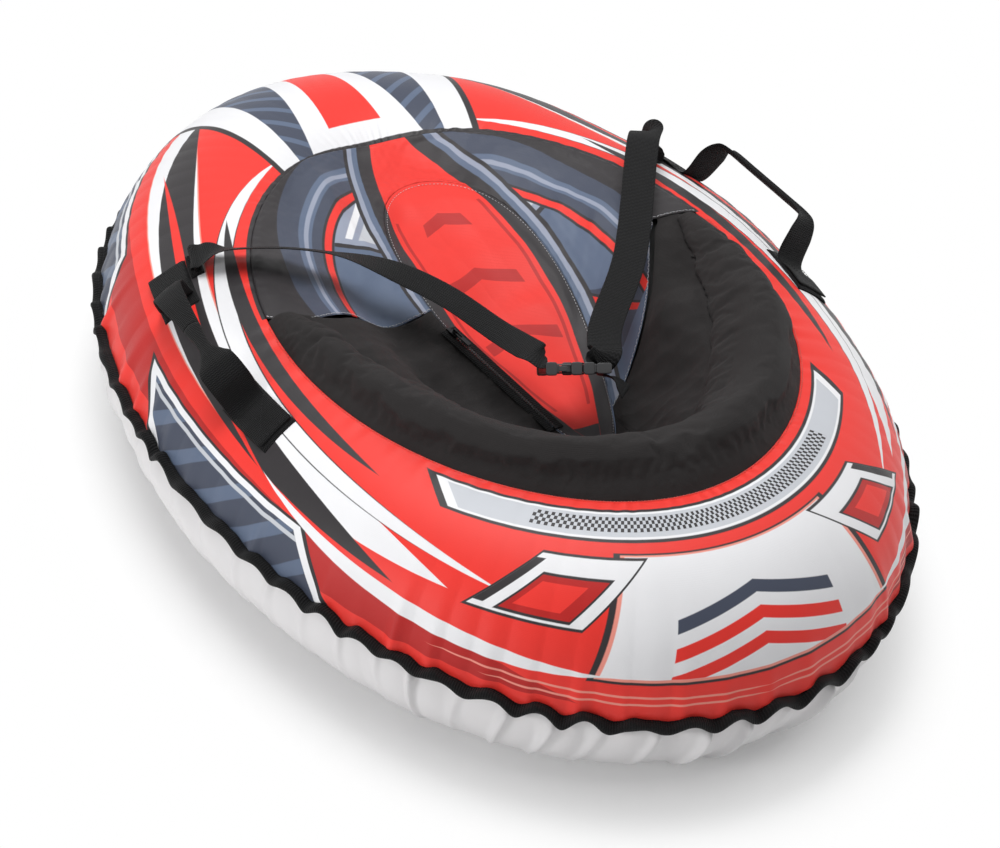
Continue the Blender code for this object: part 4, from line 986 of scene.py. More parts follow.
def seat_sheet(name, node, first, last, outer, look, seed, bulge, count):
    """A seat fabric between the panel and an outer edge, over a range of plan angles."""
    u = np.linspace(first, last, count)[:, None]
    share = np.linspace(0, 1, 60)[None, :]
    turned = u + seam_shift(u, share)
    inner = panel_edges(turned, HALF_GAP)
    ring = ring_points(turned, outer(turned, share), SEAT_LIFT)[..., :2]
    plan = inner + (ring - inner) * share[..., None]
    x, y = plan[..., 0], plan[..., 1]
    from_panel, from_opening = share * SEAT_REACH, (1 - share) * SEAT_REACH
    fade = smooth(from_panel / (22 * MM)) * smooth(from_opening / (22 * MM))
    ends = smooth((u - first) / math.radians(9)) * smooth((last - u) / math.radians(9))
    folds = crumple(x, y, seed, 60 * MM, 170 * MM) * bulge * fade
    creases = crumple(x, y, seed + 1, 45 * MM, 120 * MM, 8, 0.8) * bulge * 0.28 * fade
    puckers = crumple(x, y, seed + 2, 9 * MM, 16 * MM, 12) * 0.35 * MM * (1 - 0.75 * fade)
    puckers = puckers * smooth(from_panel / (2 * MM)) * smooth(from_opening / (3 * MM))
    lift = (folds + creases) * (0.25 + 0.75 * ends) + puckers
    points, normals = raised(x, y, dressed_heights(x, y), lift)
    facing_down = np.cross(points[1, 1] - points[0, 1], points[1, 2] - points[1, 1])[2] < 0
    offset = 1.0 if facing_down else -1.0
    obj = grid_object(name, points, look, plan_layer(points, False), thickness=COVER_THICKNESS, offset=offset)
    dressed(obj, "tube", node)
    return points, normals


def make_seat_panel(look, thread):
    """The printed panel down the middle, with a row of stitches round it."""
    share = np.linspace(0.0, 1.0, 44)[None, :]
    centre = np.array([PANEL_SHIFT, PANEL_MIDDLE])
    plan = centre + (panel_edges(around(240)[:, None], -HALF_GAP) - centre) * share[..., None]
    x, y = plan[..., 0], plan[..., 1]
    sag = crumple(x, y, 31, 90 * MM, 260 * MM) * 2.2 * MM * smooth((1 - share) / 0.15)
    creases = crumple(x, y, 32, 60 * MM, 150 * MM, 7, 0.9) * 0.5 * MM * smooth((1 - share) / 0.1)
    points = np.stack([x, y, dressed_heights(x, y) + sag + creases], -1)
    obj = grid_object("seat_tongue", points, look, plan_layer(points), closed=True)
    dressed(obj, "tube", "seat_panel")
    edge = closed_rows(points[:, -2])
    ups = np.tile([0.0, 0.0, 1.0], (len(edge), 1))
    runs = [(edge + ups * 0.3 * MM, ups)]
    stitches("tongue_stitches", runs, thread, "print_fabric", 2.6 * MM, 2.0 * MM, 0.32 * MM)


def make_seat(print_look, black, thread, dark_thread):
    """The seat's cloth: the panel, the printed surround in front, three black gussets and their seams."""
    make_seat_panel(print_look, thread)
    front = "surround_print"
    left, right, rear = "gusset_cloth_left", "gusset_cloth_right", "gusset_cloth_back"
    made = {front: seat_sheet(
        front, "cockpit_surround", RIGHT_SEAM, LEFT_SEAM, surround_edge, print_look,
        seed=41, bulge=1.8 * MM, count=320,
    )}
    # name, node, first and last angle, seed, bulge, flat size and area in metres
    for name, node, first, last, seed, bulge, flat, area in (
        (right, "gusset_right", REAR_SEAM, RIGHT_SEAM, 51, 3.6 * MM, (0.28, 0.17), 0.029),
        (rear, "gusset_back", REAR_LEFT_SEAM, REAR_SEAM, 61, 2.6 * MM, (0.22, 0.10), 0.0165),
        (left, "gusset_left", LEFT_SEAM - TURN, REAR_LEFT_SEAM, 71, 3.6 * MM, (0.28, 0.20), 0.045),
    ):
        made[name] = seat_sheet(name, node, first, last, gusset_edge, black, seed, bulge, 140)

    def seam_run(name, row, inset):
        points, normals = made[name]
        line = points[row] + (points[row + (inset if row >= 0 else -inset)] - points[row]) * 0.6
        return line + normals[row] * 0.5 * MM, normals[row]

    overlock = [seam_run(front, 0, 1), seam_run(front, -1, 1)]
    stitches("overlock_side", overlock, thread, "black_fabric", 3.4 * MM, 0.7 * MM, 0.42 * MM, 0.7 * MM)
    dark = [seam_run(*run) for run in ((rear, 0, 1), (rear, -1, 1), (left, -1, 2), (right, 0, 2))]
    stitches("gusset_stitches", dark, dark_thread, "black_fabric", 2.6 * MM, 1.4 * MM, 0.35 * MM)


def make_roll(look, thread):
    """The padded backrest: a crescent of foam in cloth, swollen by a cloth simulation between its seams."""
    count, columns = ((200, 34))
    u = (-math.pi / 2 + BOLSTER_HALF_SPAN * np.linspace(-1, 1, count))[:, None]
    share = np.linspace(0, 1, columns)[None, :]
    back_share = share[:, ::-1]
    start = opening_angle(u)
    tucked = ring_points(u, start - ROLL_TUCK / SECTION_HALF, -ROLL_TUCK)
    top = bolster_points(u, share, -0.6 * MM)
    deep = -ROLL_TUCK * (1 - smooth(back_share / 0.35))
    back = ring_points(u, start + (bolster_foot(u) - start) * back_share, 0.6 * MM + deep)
    ring = np.concatenate([tucked, top, back[:, 1:]], 1)
    width = ring.shape[1]
    faces = []
    for i in range(count - 1):
        for j in range(width):
            k = (j + 1) % width
            faces.append((i * width + j, (i + 1) * width + j, (i + 1) * width + k, i * width + k))
    faces.append(tuple(range(width)))
    faces.append(tuple((count - 1) * width + j for j in reversed(range(width))))
    obj = add_object("backrest_roll", ring.reshape(-1, 3), faces, look)
    cleaned(obj, merge=False)
    remesh = obj.modifiers.new("even mesh", "REMESH")
    remesh.mode = "VOXEL"
    remesh.voxel_size = 4.5 * MM
    applied(obj)
    rest = positions(obj)
    x, y = rest[:, 0], rest[:, 1]
    # each point's angles on the ring, by a few steps towards the foot of its square on the core line
    angle = np.arctan2(y / CORE_Y, x / CORE_X)
    for _ in range(3):
        across = outwards(angle)
        tangent = np.stack([-across[:, 1], across[:, 0]], -1)
        slip = ((rest[:, :2] - core_points(angle)) * tangent).sum(-1)
        angle = angle + slip / np.hypot(CORE_X * np.sin(angle), CORE_Y * np.cos(angle))
    outward = ((rest[:, :2] - core_points(angle)) * outwards(angle)).sum(-1)
    section = np.arctan2((rest[:, 2] - CENTRE_HEIGHT) / SECTION_RISE, outward / SECTION_HALF)
    place = (section - opening_angle(angle)) / (bolster_foot(angle) - opening_angle(angle))
    from_middle = np.abs((angle + math.pi / 2 + math.pi) % TURN - math.pi)
    free = smooth(np.minimum(place, 1 - place) / 0.16) * smooth((BOLSTER_HALF_SPAN - from_middle) / 0.22)
    swell(obj, free, cap=9 * MM)
    gather = crumple(angle * (CORE_X + CORE_Y) / 2, place * 90 * MM, 81, 22 * MM, 60 * MM, 26)
    inner = np.exp(-np.maximum(0.0, 1 - place) / 0.20) * smooth((1 - place) / 0.05)
    outer = np.exp(-np.maximum(0.0, place) / 0.16) * smooth(place / 0.05)
    broad = crumple(x, y, 82, 90 * MM, 240 * MM) * 1.3 * MM * free
    height = broad + gather * (2.0 * inner + 0.5 * outer) * MM
    place_points(obj, positions(obj) + vertex_normals(obj) * height[:, None])
    finer = obj.modifiers.new("smooth", "SUBSURF")
    finer.levels = finer.render_levels = 1
    applied(obj)
    obj.data.shade_smooth()
    dressed(obj, "tube", "backrest_cover", "backrest_foam")
    run = u[2:-2, 0]
    edge = ring_points(run, opening_angle(run) - 0.012, 1.0 * MM)
    runs = [(edge, ring_normals(run, opening_angle(run)))]
    stitches("roll_stitches", runs, thread, "print_fabric", 2.4 * MM, 1.2 * MM, 0.38 * MM, 0.35 * MM)


def swell(obj, free, cap):
    """Blows a closed cloth up between its held edges, each point at most cap away from where it was."""
    start = positions(obj)
    group = obj.vertex_groups.new(name="held")
    for index, share in enumerate(free):
        group.add([index], float(1 - share), "REPLACE")
    cloth = obj.modifiers.new("cloth", "CLOTH")
    settings = cloth.settings
    settings.quality = 5
    settings.mass = 0.3
    settings.tension_stiffness = settings.compression_stiffness = 12
    settings.shear_stiffness = 6
    settings.bending_stiffness = 0.4
    settings.use_pressure = True
    settings.uniform_pressure_force = 4.0
    settings.shrink_min = -0.05
    settings.vertex_group_mass = "held"
    settings.pin_stiffness = 1.0
    settings.effector_weights.gravity = 0
    cloth.collision_settings.use_collision = False
    scene = bpy.context.scene
    for number in range(1, 21):
        scene.frame_set(number)
    applied(obj)
    scene.frame_set(1)
    moved = positions(obj) - start
    size = np.linalg.norm(moved, axis=-1, keepdims=True)
    place_points(obj, start + moved * np.minimum(1.0, cap * free[:, None] / np.maximum(size, 1e-9)))
    obj.vertex_groups.clear()


# Handles, belts and the tow loop

def side_angle(side, u):
    """The plan angle on the left (-1) or right (1) side that mirrors u on the right."""
    return u if side > 0 else math.pi - u


def box_stitch(angles, sections, lift):
    """The runs of a sewn box with a cross in it, on the tube's skin."""
    (left, right), (low, high) = angles, sections
    corners = [(left, low), (right, low), (right, high), (left, high)]
    share = np.linspace(0, 1, 14)
    runs = []
    for a, b in ((0, 1), (1, 2), (2, 3), (3, 0), (0, 2), (1, 3)):
        u, v = (first + (last - first) * share for first, last in zip(corners[a], corners[b]))
        runs.append((ring_points(u, v, lift), ring_normals(u, v)))
    return runs


def cloth_patch(name, node, angles, sections, look):
    """A sewn patch of doubled webbing on the tube's skin, with soft edges."""
    rows, columns = 26, 20
    u = np.linspace(angles[0], angles[1], rows)[:, None]
    v = np.linspace(sections[0], sections[1], columns)[None, :]
    edge_u = np.minimum(np.linspace(0, 1, rows), np.linspace(1, 0, rows))[:, None]
    edge_v = np.minimum(np.linspace(0, 1, columns), np.linspace(1, 0, columns))[None, :]
    round_off = smooth(edge_u / 0.05) * smooth(edge_v / 0.06)
    quilt = 0.25 * MM * np.sin(edge_u * 40) * np.sin(edge_v * 34)
    lift = EDGE_GAP + PATCH_THICKNESS * (0.35 + 0.65 * round_off) + quilt * round_off
    points = ring_points(u, v) + ring_normals(u, v) * lift[..., None]
    width = np.linspace(0, (sections[1] - sections[0]) * SECTION_HALF, columns)
    length = np.linspace(0, abs(angles[1] - angles[0]) * 0.5, rows)
    strip = {"strip": stacked(length[:, None], width[None, :])}
    offset = -1.0 if angles[1] > angles[0] else 1.0
    obj = grid_object(name, points, look, strip, thickness=PATCH_THICKNESS * 0.8, offset=offset)
    dressed(obj, "tube", node)


# Each half of a handle: places along it, its height, its width and how far it is folded together
HANDLE_PROFILES = {
    ("left", "front"): (
        (0.150, 0.60, 0.88, 0.06),
        (0.205, 0.88, 0.78, 0.12),
        (0.30, 0.99, 0.70, 0.22),
        (0.40, 1.0, 0.60, 0.34),
        (0.5, 0.97, 0.50, 0.44),
    ),
    ("left", "rear"): (
        (0.140, 0.56, 1.0, -0.12),
        (0.20, 0.84, 0.98, -0.14),
        (0.275, 0.93, 0.66, 0.20),
        (0.36, 0.95, 0.38, 0.50),
        (0.5, 0.97, 0.50, 0.44),
    ),
    ("right", "front"): (
        (0.135, 0.62, 0.94, 0.04),
        (0.165, 0.94, 0.70, 0.18),
        (0.215, 1.0, 0.54, 0.40),
        (0.36, 1.0, 0.50, 0.46),
        (0.5, 1.0, 0.50, 0.46),
    ),
    ("right", "rear"): (
        (0.135, 0.60, 0.94, 0.04),
        (0.165, 0.92, 0.74, 0.18),
        (0.22, 0.99, 0.56, 0.40),
        (0.36, 1.0, 0.50, 0.46),
        (0.5, 1.0, 0.50, 0.46),
    ),
}


def make_handles(webbing, black_thread):
    """Two webbing handles, in two halves each, which start flat on a sewn patch and rise to the middle."""
    half = HANDLE_WEBBING / 2 / SECTION_HALF
    rise = EDGE_GAP + PATCH_THICKNESS
    pivot_lift = rise + HANDLE_PINCH + EDGE_GAP
    flat_lift = rise + WEBBING_THICKNESS / 2 + 0.2 * MM
    thread_lift = flat_lift + WEBBING_THICKNESS / 2 + 0.4 * MM
    inset = PATCH_HALF_ANGLE * 0.78
    sewn = []
    for side, word in SIDES:
        front, rear = (ring_points(side_angle(side, u), HANDLE_SECTION, pivot_lift) for u in HANDLE_ANGLES)
        axis = unit(rear - front)
        length = np.linalg.norm(rear - front)
        out = ring_normals(side_angle(side, 0.0), HANDLE_SECTION)
        out = unit(out - axis * out.dot(axis))
        middle_across = np.cross(out, axis)
        # end, its angle, its pivot and the way along the handle from there
        for end, u_end, near, away in (
            ("front", HANDLE_ANGLES[0], front, 1),
            ("rear", HANDLE_ANGLES[1], rear, -1),
        ):
            patch = [side_angle(side, u_end + way * PATCH_HALF_ANGLE) for way in (-1, 1)]
            sections = (HANDLE_SECTION - half, HANDLE_SECTION + half)
            cloth_patch(f"handle_base_{word}_{end}", f"handle_patch_{word}_{end}", patch, sections, webbing)
            outer_u = side_angle(side, u_end + away * PATCH_HALF_ANGLE * 0.86)
            inner_u = side_angle(side, u_end - away * PATCH_HALF_ANGLE * 0.55)
            line, across, widths, curls = [], [], [], []
            for share in (0.0, 0.5, 1.0):
                u = outer_u + (inner_u - outer_u) * share
                line.append(ring_points(u, HANDLE_SECTION, flat_lift))
                here = ring_points(u, np.array([HANDLE_SECTION - 0.01, HANDLE_SECTION + 0.01]))
                flow = unit(here[1] - here[0])
                across.append(flow if flow.dot(middle_across) > 0 else -flow)
                widths.append(HANDLE_WEBBING * (0.98 - 0.06 * share))
                curls.append(0.0)
            for place, lift, width, curl in HANDLE_PROFILES[word, end]:
                line.append(near + axis * away * length * place + out * HANDLE_LIFT * lift)
                across.append(middle_across)
                widths.append(HANDLE_WEBBING * width)
                curls.append(curl * away * side)
            obj = strap(f"handle_strap_{word}_{end}", line, across, widths, 2.6 * MM, webbing, 8, curls)
            start = line[2]
            tuple(start + axis * away * 26 * MM)
            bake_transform(obj)
            if end == "front":
                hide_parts(f"handle_{word}")
            low, high = (-0.45, 1.0) if end == "front" else (-1.0, 0.45)
            box = (side_angle(side, u_end + inset * low), side_angle(side, u_end + inset * high))
            sewn += box_stitch(box, (HANDLE_SECTION - half * 0.82, HANDLE_SECTION + half * 0.82), thread_lift)
    stitches("handle_stitches", sewn, black_thread, "webbing", 2.8 * MM, 0.9 * MM, 0.36 * MM)


# How the belts turn: where each turn begins, how long it is and the width's direction after it
BELT_TURNS = {
    "left": ((0.04, 0.12, (0.45, 0.66, -0.50)), (0.33, 0.20, (0.81, 0.58, 0.05))),
    "right": ((0.0, 0.30, (0.85, -0.52, 0.05)),),
}


def buckle_place():
    """The buckle's origin and axes, as in the CAD."""
    along = unit(np.array([0.93, -0.36, 0.0]))
    hint = unit(np.array([0.25, 0.75, -0.6]))
    across = unit(hint - along * hint.dot(along))
    origin = np.array(BUCKLE_PLACE_SHARE) * np.array([CORE_X, CORE_Y, CREST_HEIGHT])
    return origin, along, across, np.cross(along, across)


def make_belts(webbing, black_thread):
    """The lap belt: a half from each side to its slot in the buckle, twisted on the way, and its tail."""
    origin, along, across, through = buckle_place()

    def at(x, height):
        return origin + along * x + through * height

    half = BELT_ANCHOR_WIDTH / 2 / SECTION_HALF
    high = HANDLE_SECTION + (HANDLE_WEBBING / 2 + 1 * MM) / SECTION_HALF + half
    turn = BELT_WEBBING / 2 / CORE_Y
    thread_lift = EDGE_GAP + PATCH_THICKNESS + 0.5 * MM
    top = BUCKLE_THICKNESS / 2
    outer_slot = INSERT_LENGTH - BUCKLE_BAR - BUCKLE_SLOT / 2
    # side, name, the slot that the belt goes into, its way there and where its last twist begins
    halves = (
        (-1, "left", -HOUSING_LENGTH + BUCKLE_BAR + BUCKLE_SLOT / 2, LEFT_ROUTE_SHARES, 0.84),
        (1, "right", outer_slot - BUCKLE_BAR - BUCKLE_SLOT, RIGHT_ROUTE_SHARES, 0.87),
    )
    sewn = []
    for side, word, slot_x, shares, twist in halves:
        u = side_angle(side, BELT_ANCHOR_ANGLE)
        angles, inset = (
            [side_angle(side, BELT_ANCHOR_ANGLE + way * turn * share) for way in (-1, 1)]
            for share in (1.0, 0.8)
        )
        cloth_patch(f"belt_base_{word}", f"belt_anchor_{word}", angles, (high - half, high + half), webbing)
        sewn += box_stitch(inset, (high - half * 0.7, high + half * 0.7), thread_lift)
        start = ring_points(u, high, 1 * MM + PATCH_THICKNESS)
        lifted = start + ring_normals(u, high) * BELT_ANCHOR_LIFT
        middle = [np.array(s) * np.array([CORE_X, CORE_Y, CREST_HEIGHT]) for s in shares]
        over_buckle = at(slot_x + side * 3 * BUCKLE_SLOT, top + 3 * BUCKLE_BAR)
        into_slot = [
            at(slot_x + side * (BUCKLE_SLOT + 1 * MM), top + 4 * MM),
            at(slot_x + side * 1 * MM, top + 1 * MM),
            at(slot_x, -top),
        ]
        line = np.concatenate([[start], refined([lifted, *middle, over_buckle], 4), into_slot])
        first = unit(np.array([-CORE_X * math.sin(u), CORE_Y * math.cos(u), 0.0]))
        first = first if first[1] > 0 else -first
        count = len(line) - 1
        hints = []
        for i in range(count + 1):
            place = (i - 1) / count
            hint = first
            for begin, length, facing in BELT_TURNS[word]:
                hint = hint + (np.array(facing) - hint) * float(smooth((place - begin) / length))
            hints.append(hint + (across - hint) * float(smooth((place - twist) / (0.98 - twist))))
        obj = strap(f"belt_strap_{word}", line, hints, BELT_WEBBING, WEBBING_THICKNESS, webbing, 5)
        if side < 0:
            dressed(obj, "tube", "belt_left")
        else:
            near = at(slot_x + 90 * MM, top + 20 * MM)
            tuple(at(slot_x + 8 * MM, top))
            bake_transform(obj)
            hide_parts("belt_right")
    stitches("belt_stitches", sewn, black_thread, "webbing", 2.6 * MM, 0.9 * MM, 0.34 * MM)
    tail = [
        at(outer_slot, 0.0),
        at(outer_slot, -top - 1 * MM),
        at(outer_slot + BUCKLE_SLOT + 1 * MM, -top - 2.5 * MM),
        at(outer_slot + TAIL_LENGTH * 0.45, -top - 8 * MM),
        at(outer_slot + TAIL_LENGTH * 0.75, -top - 21 * MM),
    ]
    hints = [across, across, across, unit(across * 0.9 + along * 0.45), unit(across * 0.75 + along * 0.66)]
    obj = strap("belt_tail_strap", tail, hints, BELT_WEBBING, WEBBING_THICKNESS, webbing, 6)
    dressed(obj, "insert", "belt_tail", slot="webbing")


def rounded_block(name, centre, halves, axes, look):
    """A block with softly rounded edges: a sphere pushed outwards towards a box."""
    round_it = around(32)[:, None]
    rise = np.linspace(-math.pi / 2, math.pi / 2, 17)[None, :]

    def pushed(values):
        return np.sign(values) * np.abs(values) ** 0.38

    flat = pushed(np.cos(rise))
    local = stacked(pushed(np.cos(round_it)) * flat, pushed(np.sin(round_it)) * flat, pushed(np.sin(rise)))
    points = centre + local * np.array(halves) @ np.array(axes)
    return grid_object(name, points, look, plan_layer(points), closed=True)


def make_buckle_grips(look):
    """Soft ribs on the buckle's narrow sides, where fingers press."""
    origin, along, across, through = buckle_place()
    for side, word in ((1, "left"), (-1, "right")):
        # body, name, first and last place along the buckle, half height, half thickness and how deep it sits
        for body, label, low, high, rise, thick, sunk in (
            ("tube", "rear", -HOUSING_LENGTH - 1 * MM, -28.5 * MM, 1.4 * MM, 7.4 * MM, 0.4 * MM),
            (f"prong_{word}", "middle", -26.5 * MM, -17.5 * MM, 1.1 * MM, 3.2 * MM, 1.0 * MM),
            ("tube", "front", -13 * MM, -1 * MM, 1.4 * MM, 7.2 * MM, 0.4 * MM),
            ("insert", "end", 1 * MM, 13 * MM, 1.4 * MM, 6.8 * MM, 0.4 * MM),
            ("insert", "bars", 15 * MM, INSERT_LENGTH + 1 * MM, 1.2 * MM, 6.0 * MM, 0.4 * MM),
        ):
            depth = BUCKLE_WIDTH / 2 + rise - sunk
            centre = origin + along * (low + high) / 2 + across * side * depth
            halves = ((high - low) / 2, rise, thick)
            obj = rounded_block(f"buckle_grip_{word}_{label}", centre, halves, (along, across, through), look)
            dressed(obj, body, slot="black_plastic")


def make_tow_loop(webbing, black_thread):
    """The tow loop at the front: a sewn patch and a flat arch in two halves."""
    middle = math.pi / 2
    turn = (TOW_HALF_SPREAD + TOW_WEBBING) / CORE_X
    half = TOW_WEBBING / 2 / SECTION_HALF
    rise = EDGE_GAP + PATCH_THICKNESS
    patch = (middle - turn, middle + turn)
    cloth_patch("tow_base", "tow_patch", patch, (TOW_SECTION - half, TOW_SECTION + half), webbing)
    box = (middle - turn * 0.9, middle + turn * 0.9)
    runs = box_stitch(box, (TOW_SECTION - half * 0.8, TOW_SECTION + half * 0.8), rise)
    stitches("tow_stitches", runs, black_thread, "webbing", 2.8 * MM, 1.2 * MM, 0.36 * MM)
    spread = TOW_HALF_SPREAD / (CORE_X + SECTION_HALF)
    centre = ring_points(middle, TOW_SECTION, rise + 5.6 * MM)
    for side, word in SIDES:
        line, widths = [], []
        for share in (0.0, 1.0):
            u = middle - side * spread - side * (1 - share) * 0.055
            line.append(ring_points(u, TOW_SECTION, rise + 1.0 * MM))
            widths.append(24 * MM - 6 * MM * share)
        foot = line[-1]
        for degrees in (160, 140, 120, 100, 90):
            angle = math.radians(degrees)
            sideways = side * math.cos(angle) * TOW_HALF_SPREAD * 1.15
            line.append(centre + np.array([sideways, math.sin(angle) * TOW_REACH, 0.0]))
            widths.append(TOW_HEIGHT * (1.1 if degrees > 130 else 1.0))
        across = [np.array([0.0, 0.0, 1.0])] * len(line)
        obj = strap(f"tow_strap_{word}", line, across, widths, WEBBING_THICKNESS, webbing, 6)
        tuple(foot + unit(line[3] - foot) * 16 * MM)
        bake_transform(obj)
        if side < 0:
            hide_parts("tow_loop")


# Zip and tube

def make_zip(tape_look, coil_look, black_thread):
    """Two woven tapes that lie from the coil down to the seat, and the coil's teeth."""
    sewn = []
    for sign, word in ((1, "left"), (-1, "right")):
        run = np.linspace(0.0, ZIP_LENGTH, 90)[:, None]
        wide = np.linspace(ZIP_COIL_WIDTH / 2 + 0.3 * MM, ZIP_TAPE_WIDTH + 1.5 * MM, 12)[None, :]
        lift = 0.8 * MM - 0.5 * MM * smooth((wide - 7 * MM) / (5 * MM)) + 0 * run
        aside = -sign * ZIP_ACROSS * wide[..., None]
        points = ZIP_START + ZIP_ALONG * run[..., None] + aside + ZIP_NORMAL * lift[..., None]
        strip = {"strip": stacked(run, wide)}
        obj = grid_object(f"zip_cloth_{word}", points, tape_look, strip, thickness=0.5 * MM, offset=0.0)
        dressed(obj, "tube", f"zip_tape_{word}")
        sewn.append((points[:, 8] + ZIP_NORMAL * 0.4 * MM, np.tile(ZIP_NORMAL, (len(points), 1))))
    stitches("zip_stitches", sewn, black_thread, "binding_tape", 2.4 * MM, 1.0 * MM, 0.3 * MM)
    points, faces = [], []
    pitch = 1.6 * MM
    for k in range(int((ZIP_LENGTH - 2 * ZIP_STOP_LENGTH) / pitch)):
        middle = ZIP_STOP_LENGTH + (k + 0.5) * pitch
        side = 1 if k % 2 else -1
        base = len(points)
        near, far = -0.7 * MM * side, ZIP_COIL_WIDTH / 2 * side
        tooth = (
            (near, 0.5 * MM),
            (far, 0.35 * MM),
            (far, 1.7 * MM),
            ((near + far) / 2, ZIP_COIL_HEIGHT),
            (near, 1.9 * MM),
        )
        for x in (middle - 0.62 * MM, middle + 0.62 * MM):
            points += [ZIP_START + ZIP_ALONG * x - ZIP_ACROSS * y + ZIP_NORMAL * z for y, z in tooth]
        faces.append(tuple(base + i for i in range(5)))
        faces.append(tuple(base + 9 - i for i in range(5)))
        for i in range(5):
            j = (i + 1) % 5
            faces.append((base + i, base + 5 + i, base + 5 + j, base + j))
    obj = add_object("zip_teeth", points, faces, coil_look)
    obj.data.shade_flat()
    cleaned(obj, merge=False)
    round_off = obj.modifiers.new("rounded edges", "BEVEL")
    round_off.width = 0.25 * MM
    round_off.segments = 1
    dressed(obj, "tube", "zip_coil")


def make_tube(look):
    """The rubber ring with the moulding line round its inner side, pressed back where the seat lies."""
    u = around(240)[:, None]
    v = np.linspace(0, TURN, 73)[None, :]
    line = 0.6 * MM * np.exp(-((v - math.pi) * SECTION_HALF / (2 * MM)) ** 2)
    pressed = 14 * MM * smooth((v - math.radians(92)) / 0.3) * smooth((math.radians(240) - v) / 0.4)
    points = ring_points(u, v, -3.1 * MM) + ring_normals(u, v) * (line - pressed)[..., None]
    points[..., 2] = np.maximum(points[..., 2], 2.5 * MM)
    obj = grid_object("tube_rubber", points, look, plan_layer(points), closed=True)
    cleaned(obj)
    dressed(obj, "tube", "inner_tube")


# Camera, light and floor

def make_camera():
    """The camera at the photograph's angle, distance and lens."""
    azimuth, elevation, roll = (math.radians(degrees) for degrees in (-34.317, 37.321, 7.236))
    aim = Vector((-0.019, -0.047, 0.12))
    distance = 3.935
    level = math.cos(elevation)
    back = Vector((math.sin(azimuth) * level, -math.cos(azimuth) * level, math.sin(elevation)))
    right = Vector((math.cos(azimuth), math.sin(azimuth), 0.0))
    up = back.cross(right)
    axes = (right * math.cos(roll) + up * math.sin(roll), up * math.cos(roll) - right * math.sin(roll), back)
    data = bpy.data.cameras.new("camera")
    data.sensor_fit = "HORIZONTAL"
    data.sensor_width = 36
    data.lens = 125.74
    camera = bpy.data.objects.new("camera", data)
    camera.matrix_world = Matrix.Translation(aim + back * distance) @ Matrix(axes).transposed().to_4x4()
    bpy.context.scene.collection.objects.link(camera)
    bpy.context.scene.camera = camera


def backdrop_rays(tree):
    """1 for the rays that show the white backdrop: seen straight, mirrored or through something clear."""
    path = tree.nodes.new("ShaderNodeLightPath")
    share = Value(tree, path.outputs["Is Camera Ray"])
    for kind in ("Is Glossy Ray", "Is Transmission Ray"):
        share = share.math("MAXIMUM", Value(tree, path.outputs[kind]))
    return share


def make_light():
    """Three soft studio lamps and a dim even world, which shows as white behind the object."""
    for name, place, size, watts in (
        ("key", (-0.15, 0.45, 3.1), (1.9, 1.7), 76),
        ("fill", (-2.6, -0.35, 0.75), (0.6, 0.6), 20),
        ("rim", (2.2, -0.3, 1.9), (0.9, 1.6), 8),
    ):
        data = bpy.data.lights.new(name, "AREA")
        data.energy = watts
        data.shape = "RECTANGLE"
        data.size, data.size_y = size
        lamp = bpy.data.objects.new(name, data)
        lamp.location = place
        direction = Vector((0, 0, 0.1)) - Vector(place)
        lamp.rotation_euler = direction.to_track_quat("-Z", "Y").to_euler()
        bpy.context.scene.collection.objects.link(lamp)
    world = bpy.data.worlds.new("studio")
    world.use_nodes = True
    tree = world.node_tree
    background = tree.nodes["Background"]
    background.inputs[0].default_value = (1, 1, 1, 1)
    strength = backdrop_rays(tree) * (1.0 - ROOM_LIGHT) + ROOM_LIGHT
    tree.links.new(strength.socket, background.inputs[1])
    bpy.context.scene.world = world


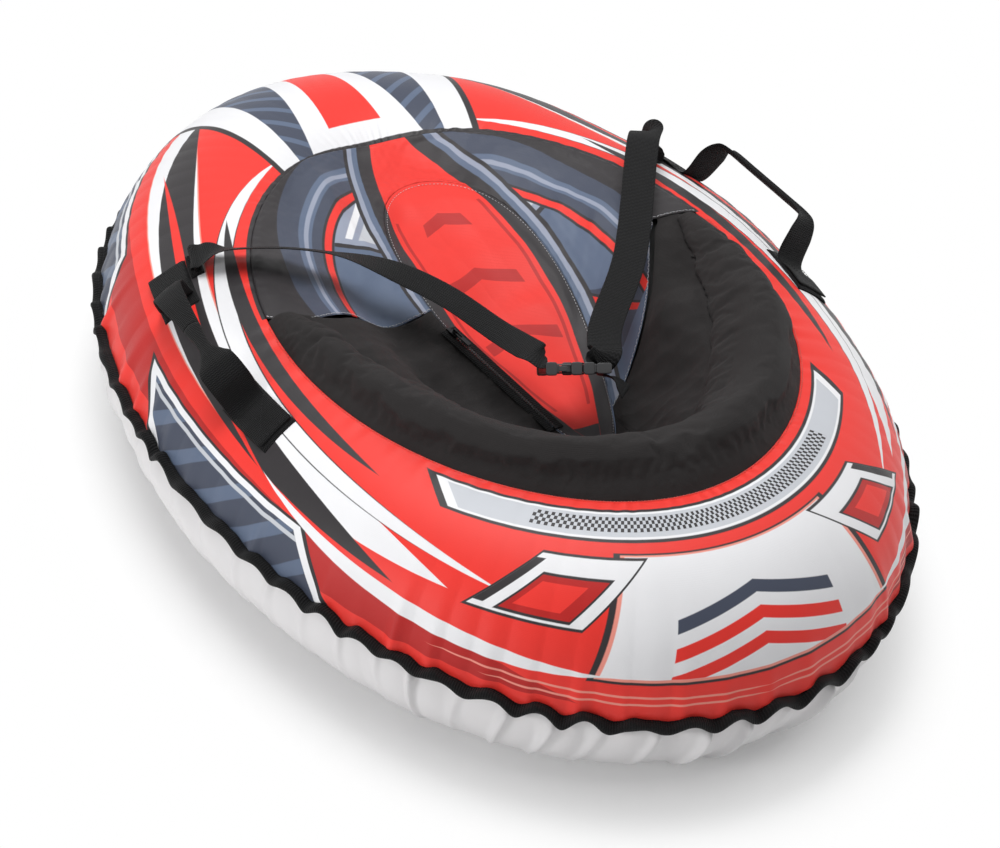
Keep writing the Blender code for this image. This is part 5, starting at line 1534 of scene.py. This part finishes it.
def make_floor():
    """A pale floor that keeps the object's shadow and turns plain white away from it."""
    half = 6.0
    corners = [(-half, -half, 0), (half, -half, 0), (half, half, 0), (-half, half, 0)]
    look = Look("studio_floor", 0.7)
    look.shader.inputs["Base Color"].default_value = (0.96, 0.96, 0.96, 1.0)
    obj = add_object("studio_floor", corners, [(0, 1, 2, 3)], look.material)
    obj.location.z = -0.5 * MM
    # out is 1 on an oval round the object, and the floor turns white about there
    x, y, _ = look.place()
    out = ((x * x) * (1 / 0.42**2) + (y * y) * (1 / 0.58**2)).math("POWER", 0.5)
    fade = ((out - 0.90) * (1 / 0.26)).math("MULTIPLY", 1.0, clamp=True)
    share = backdrop_rays(look.tree) * (fade * 0.84 + 0.16)
    blend = look.node("ShaderNodeMixShader")
    white = look.node("ShaderNodeEmission").outputs[0]
    for place, socket in enumerate((share.socket, look.shader.outputs[0], white)):
        look.tree.links.new(socket, blend.inputs[place])
    look.tree.links.new(blend.outputs[0], look.tree.nodes["Material Output"].inputs[0])


def main():
    make_camera()
    make_light()
    make_floor()
    printed = cover_print()
    black = plain_cloth("black_polyester", (0.0200, 0.0180, 0.0180), 0.72, 1.2 * MM, 0.04, 0.22 * MM)
    webbing = webbing_look("black_webbing", (0.0026, 0.0026, 0.0028))
    tape = webbing_look("ribbed_tape", (0.0022, 0.0022, 0.0024), 2.6 * MM, 0.25)
    plastic = moulded_plastic()
    enamel = plain_metal("black_enamel", (0.03, 0.03, 0.032), 0.35)
    brass = plain_metal("brass", (0.72, 0.52, 0.22), 0.30)
    rubber = plain_rubber()
    white_thread, black_thread, red_thread = (
        plain_cloth(f"{name}_thread", base, 0.6, 0.6 * MM, 0.1)
        for name, base in (
            ("white", (0.62, 0.62, 0.64)),
            ("black", (0.008, 0.008, 0.008)),
            ("red", (0.66, 0.16, 0.13)),
        )
    )
    make_top_cover(printed)
    make_bottom_cover(slick_pvc())
    make_binding(tape)
    make_tube(rubber)
    make_seat(seat_print(), black, white_thread, black_thread)
    make_roll(black, red_thread)
    make_handles(webbing, black_thread)
    make_belts(webbing, black_thread)
    make_buckle_grips(plastic)
    make_tow_loop(webbing, black_thread)
    make_zip(tape, plastic, black_thread)
    # the CAD nodes that keep their shape get their finished materials
    for look, nodes in (
        (plastic, "buckle_housing buckle_insert buckle_prong_left buckle_prong_right valve_cap"),
        (enamel, "zip_slider zip_pull zip_stop_front zip_stop_rear"),
        (rubber, "valve_base"),
        (brass, "valve_stem"),
    ):
        for node in nodes.split():
            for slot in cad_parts[node].material_slots:
                slot.material = look
    bpy.context.scene.view_settings.view_transform = "Standard"


main()
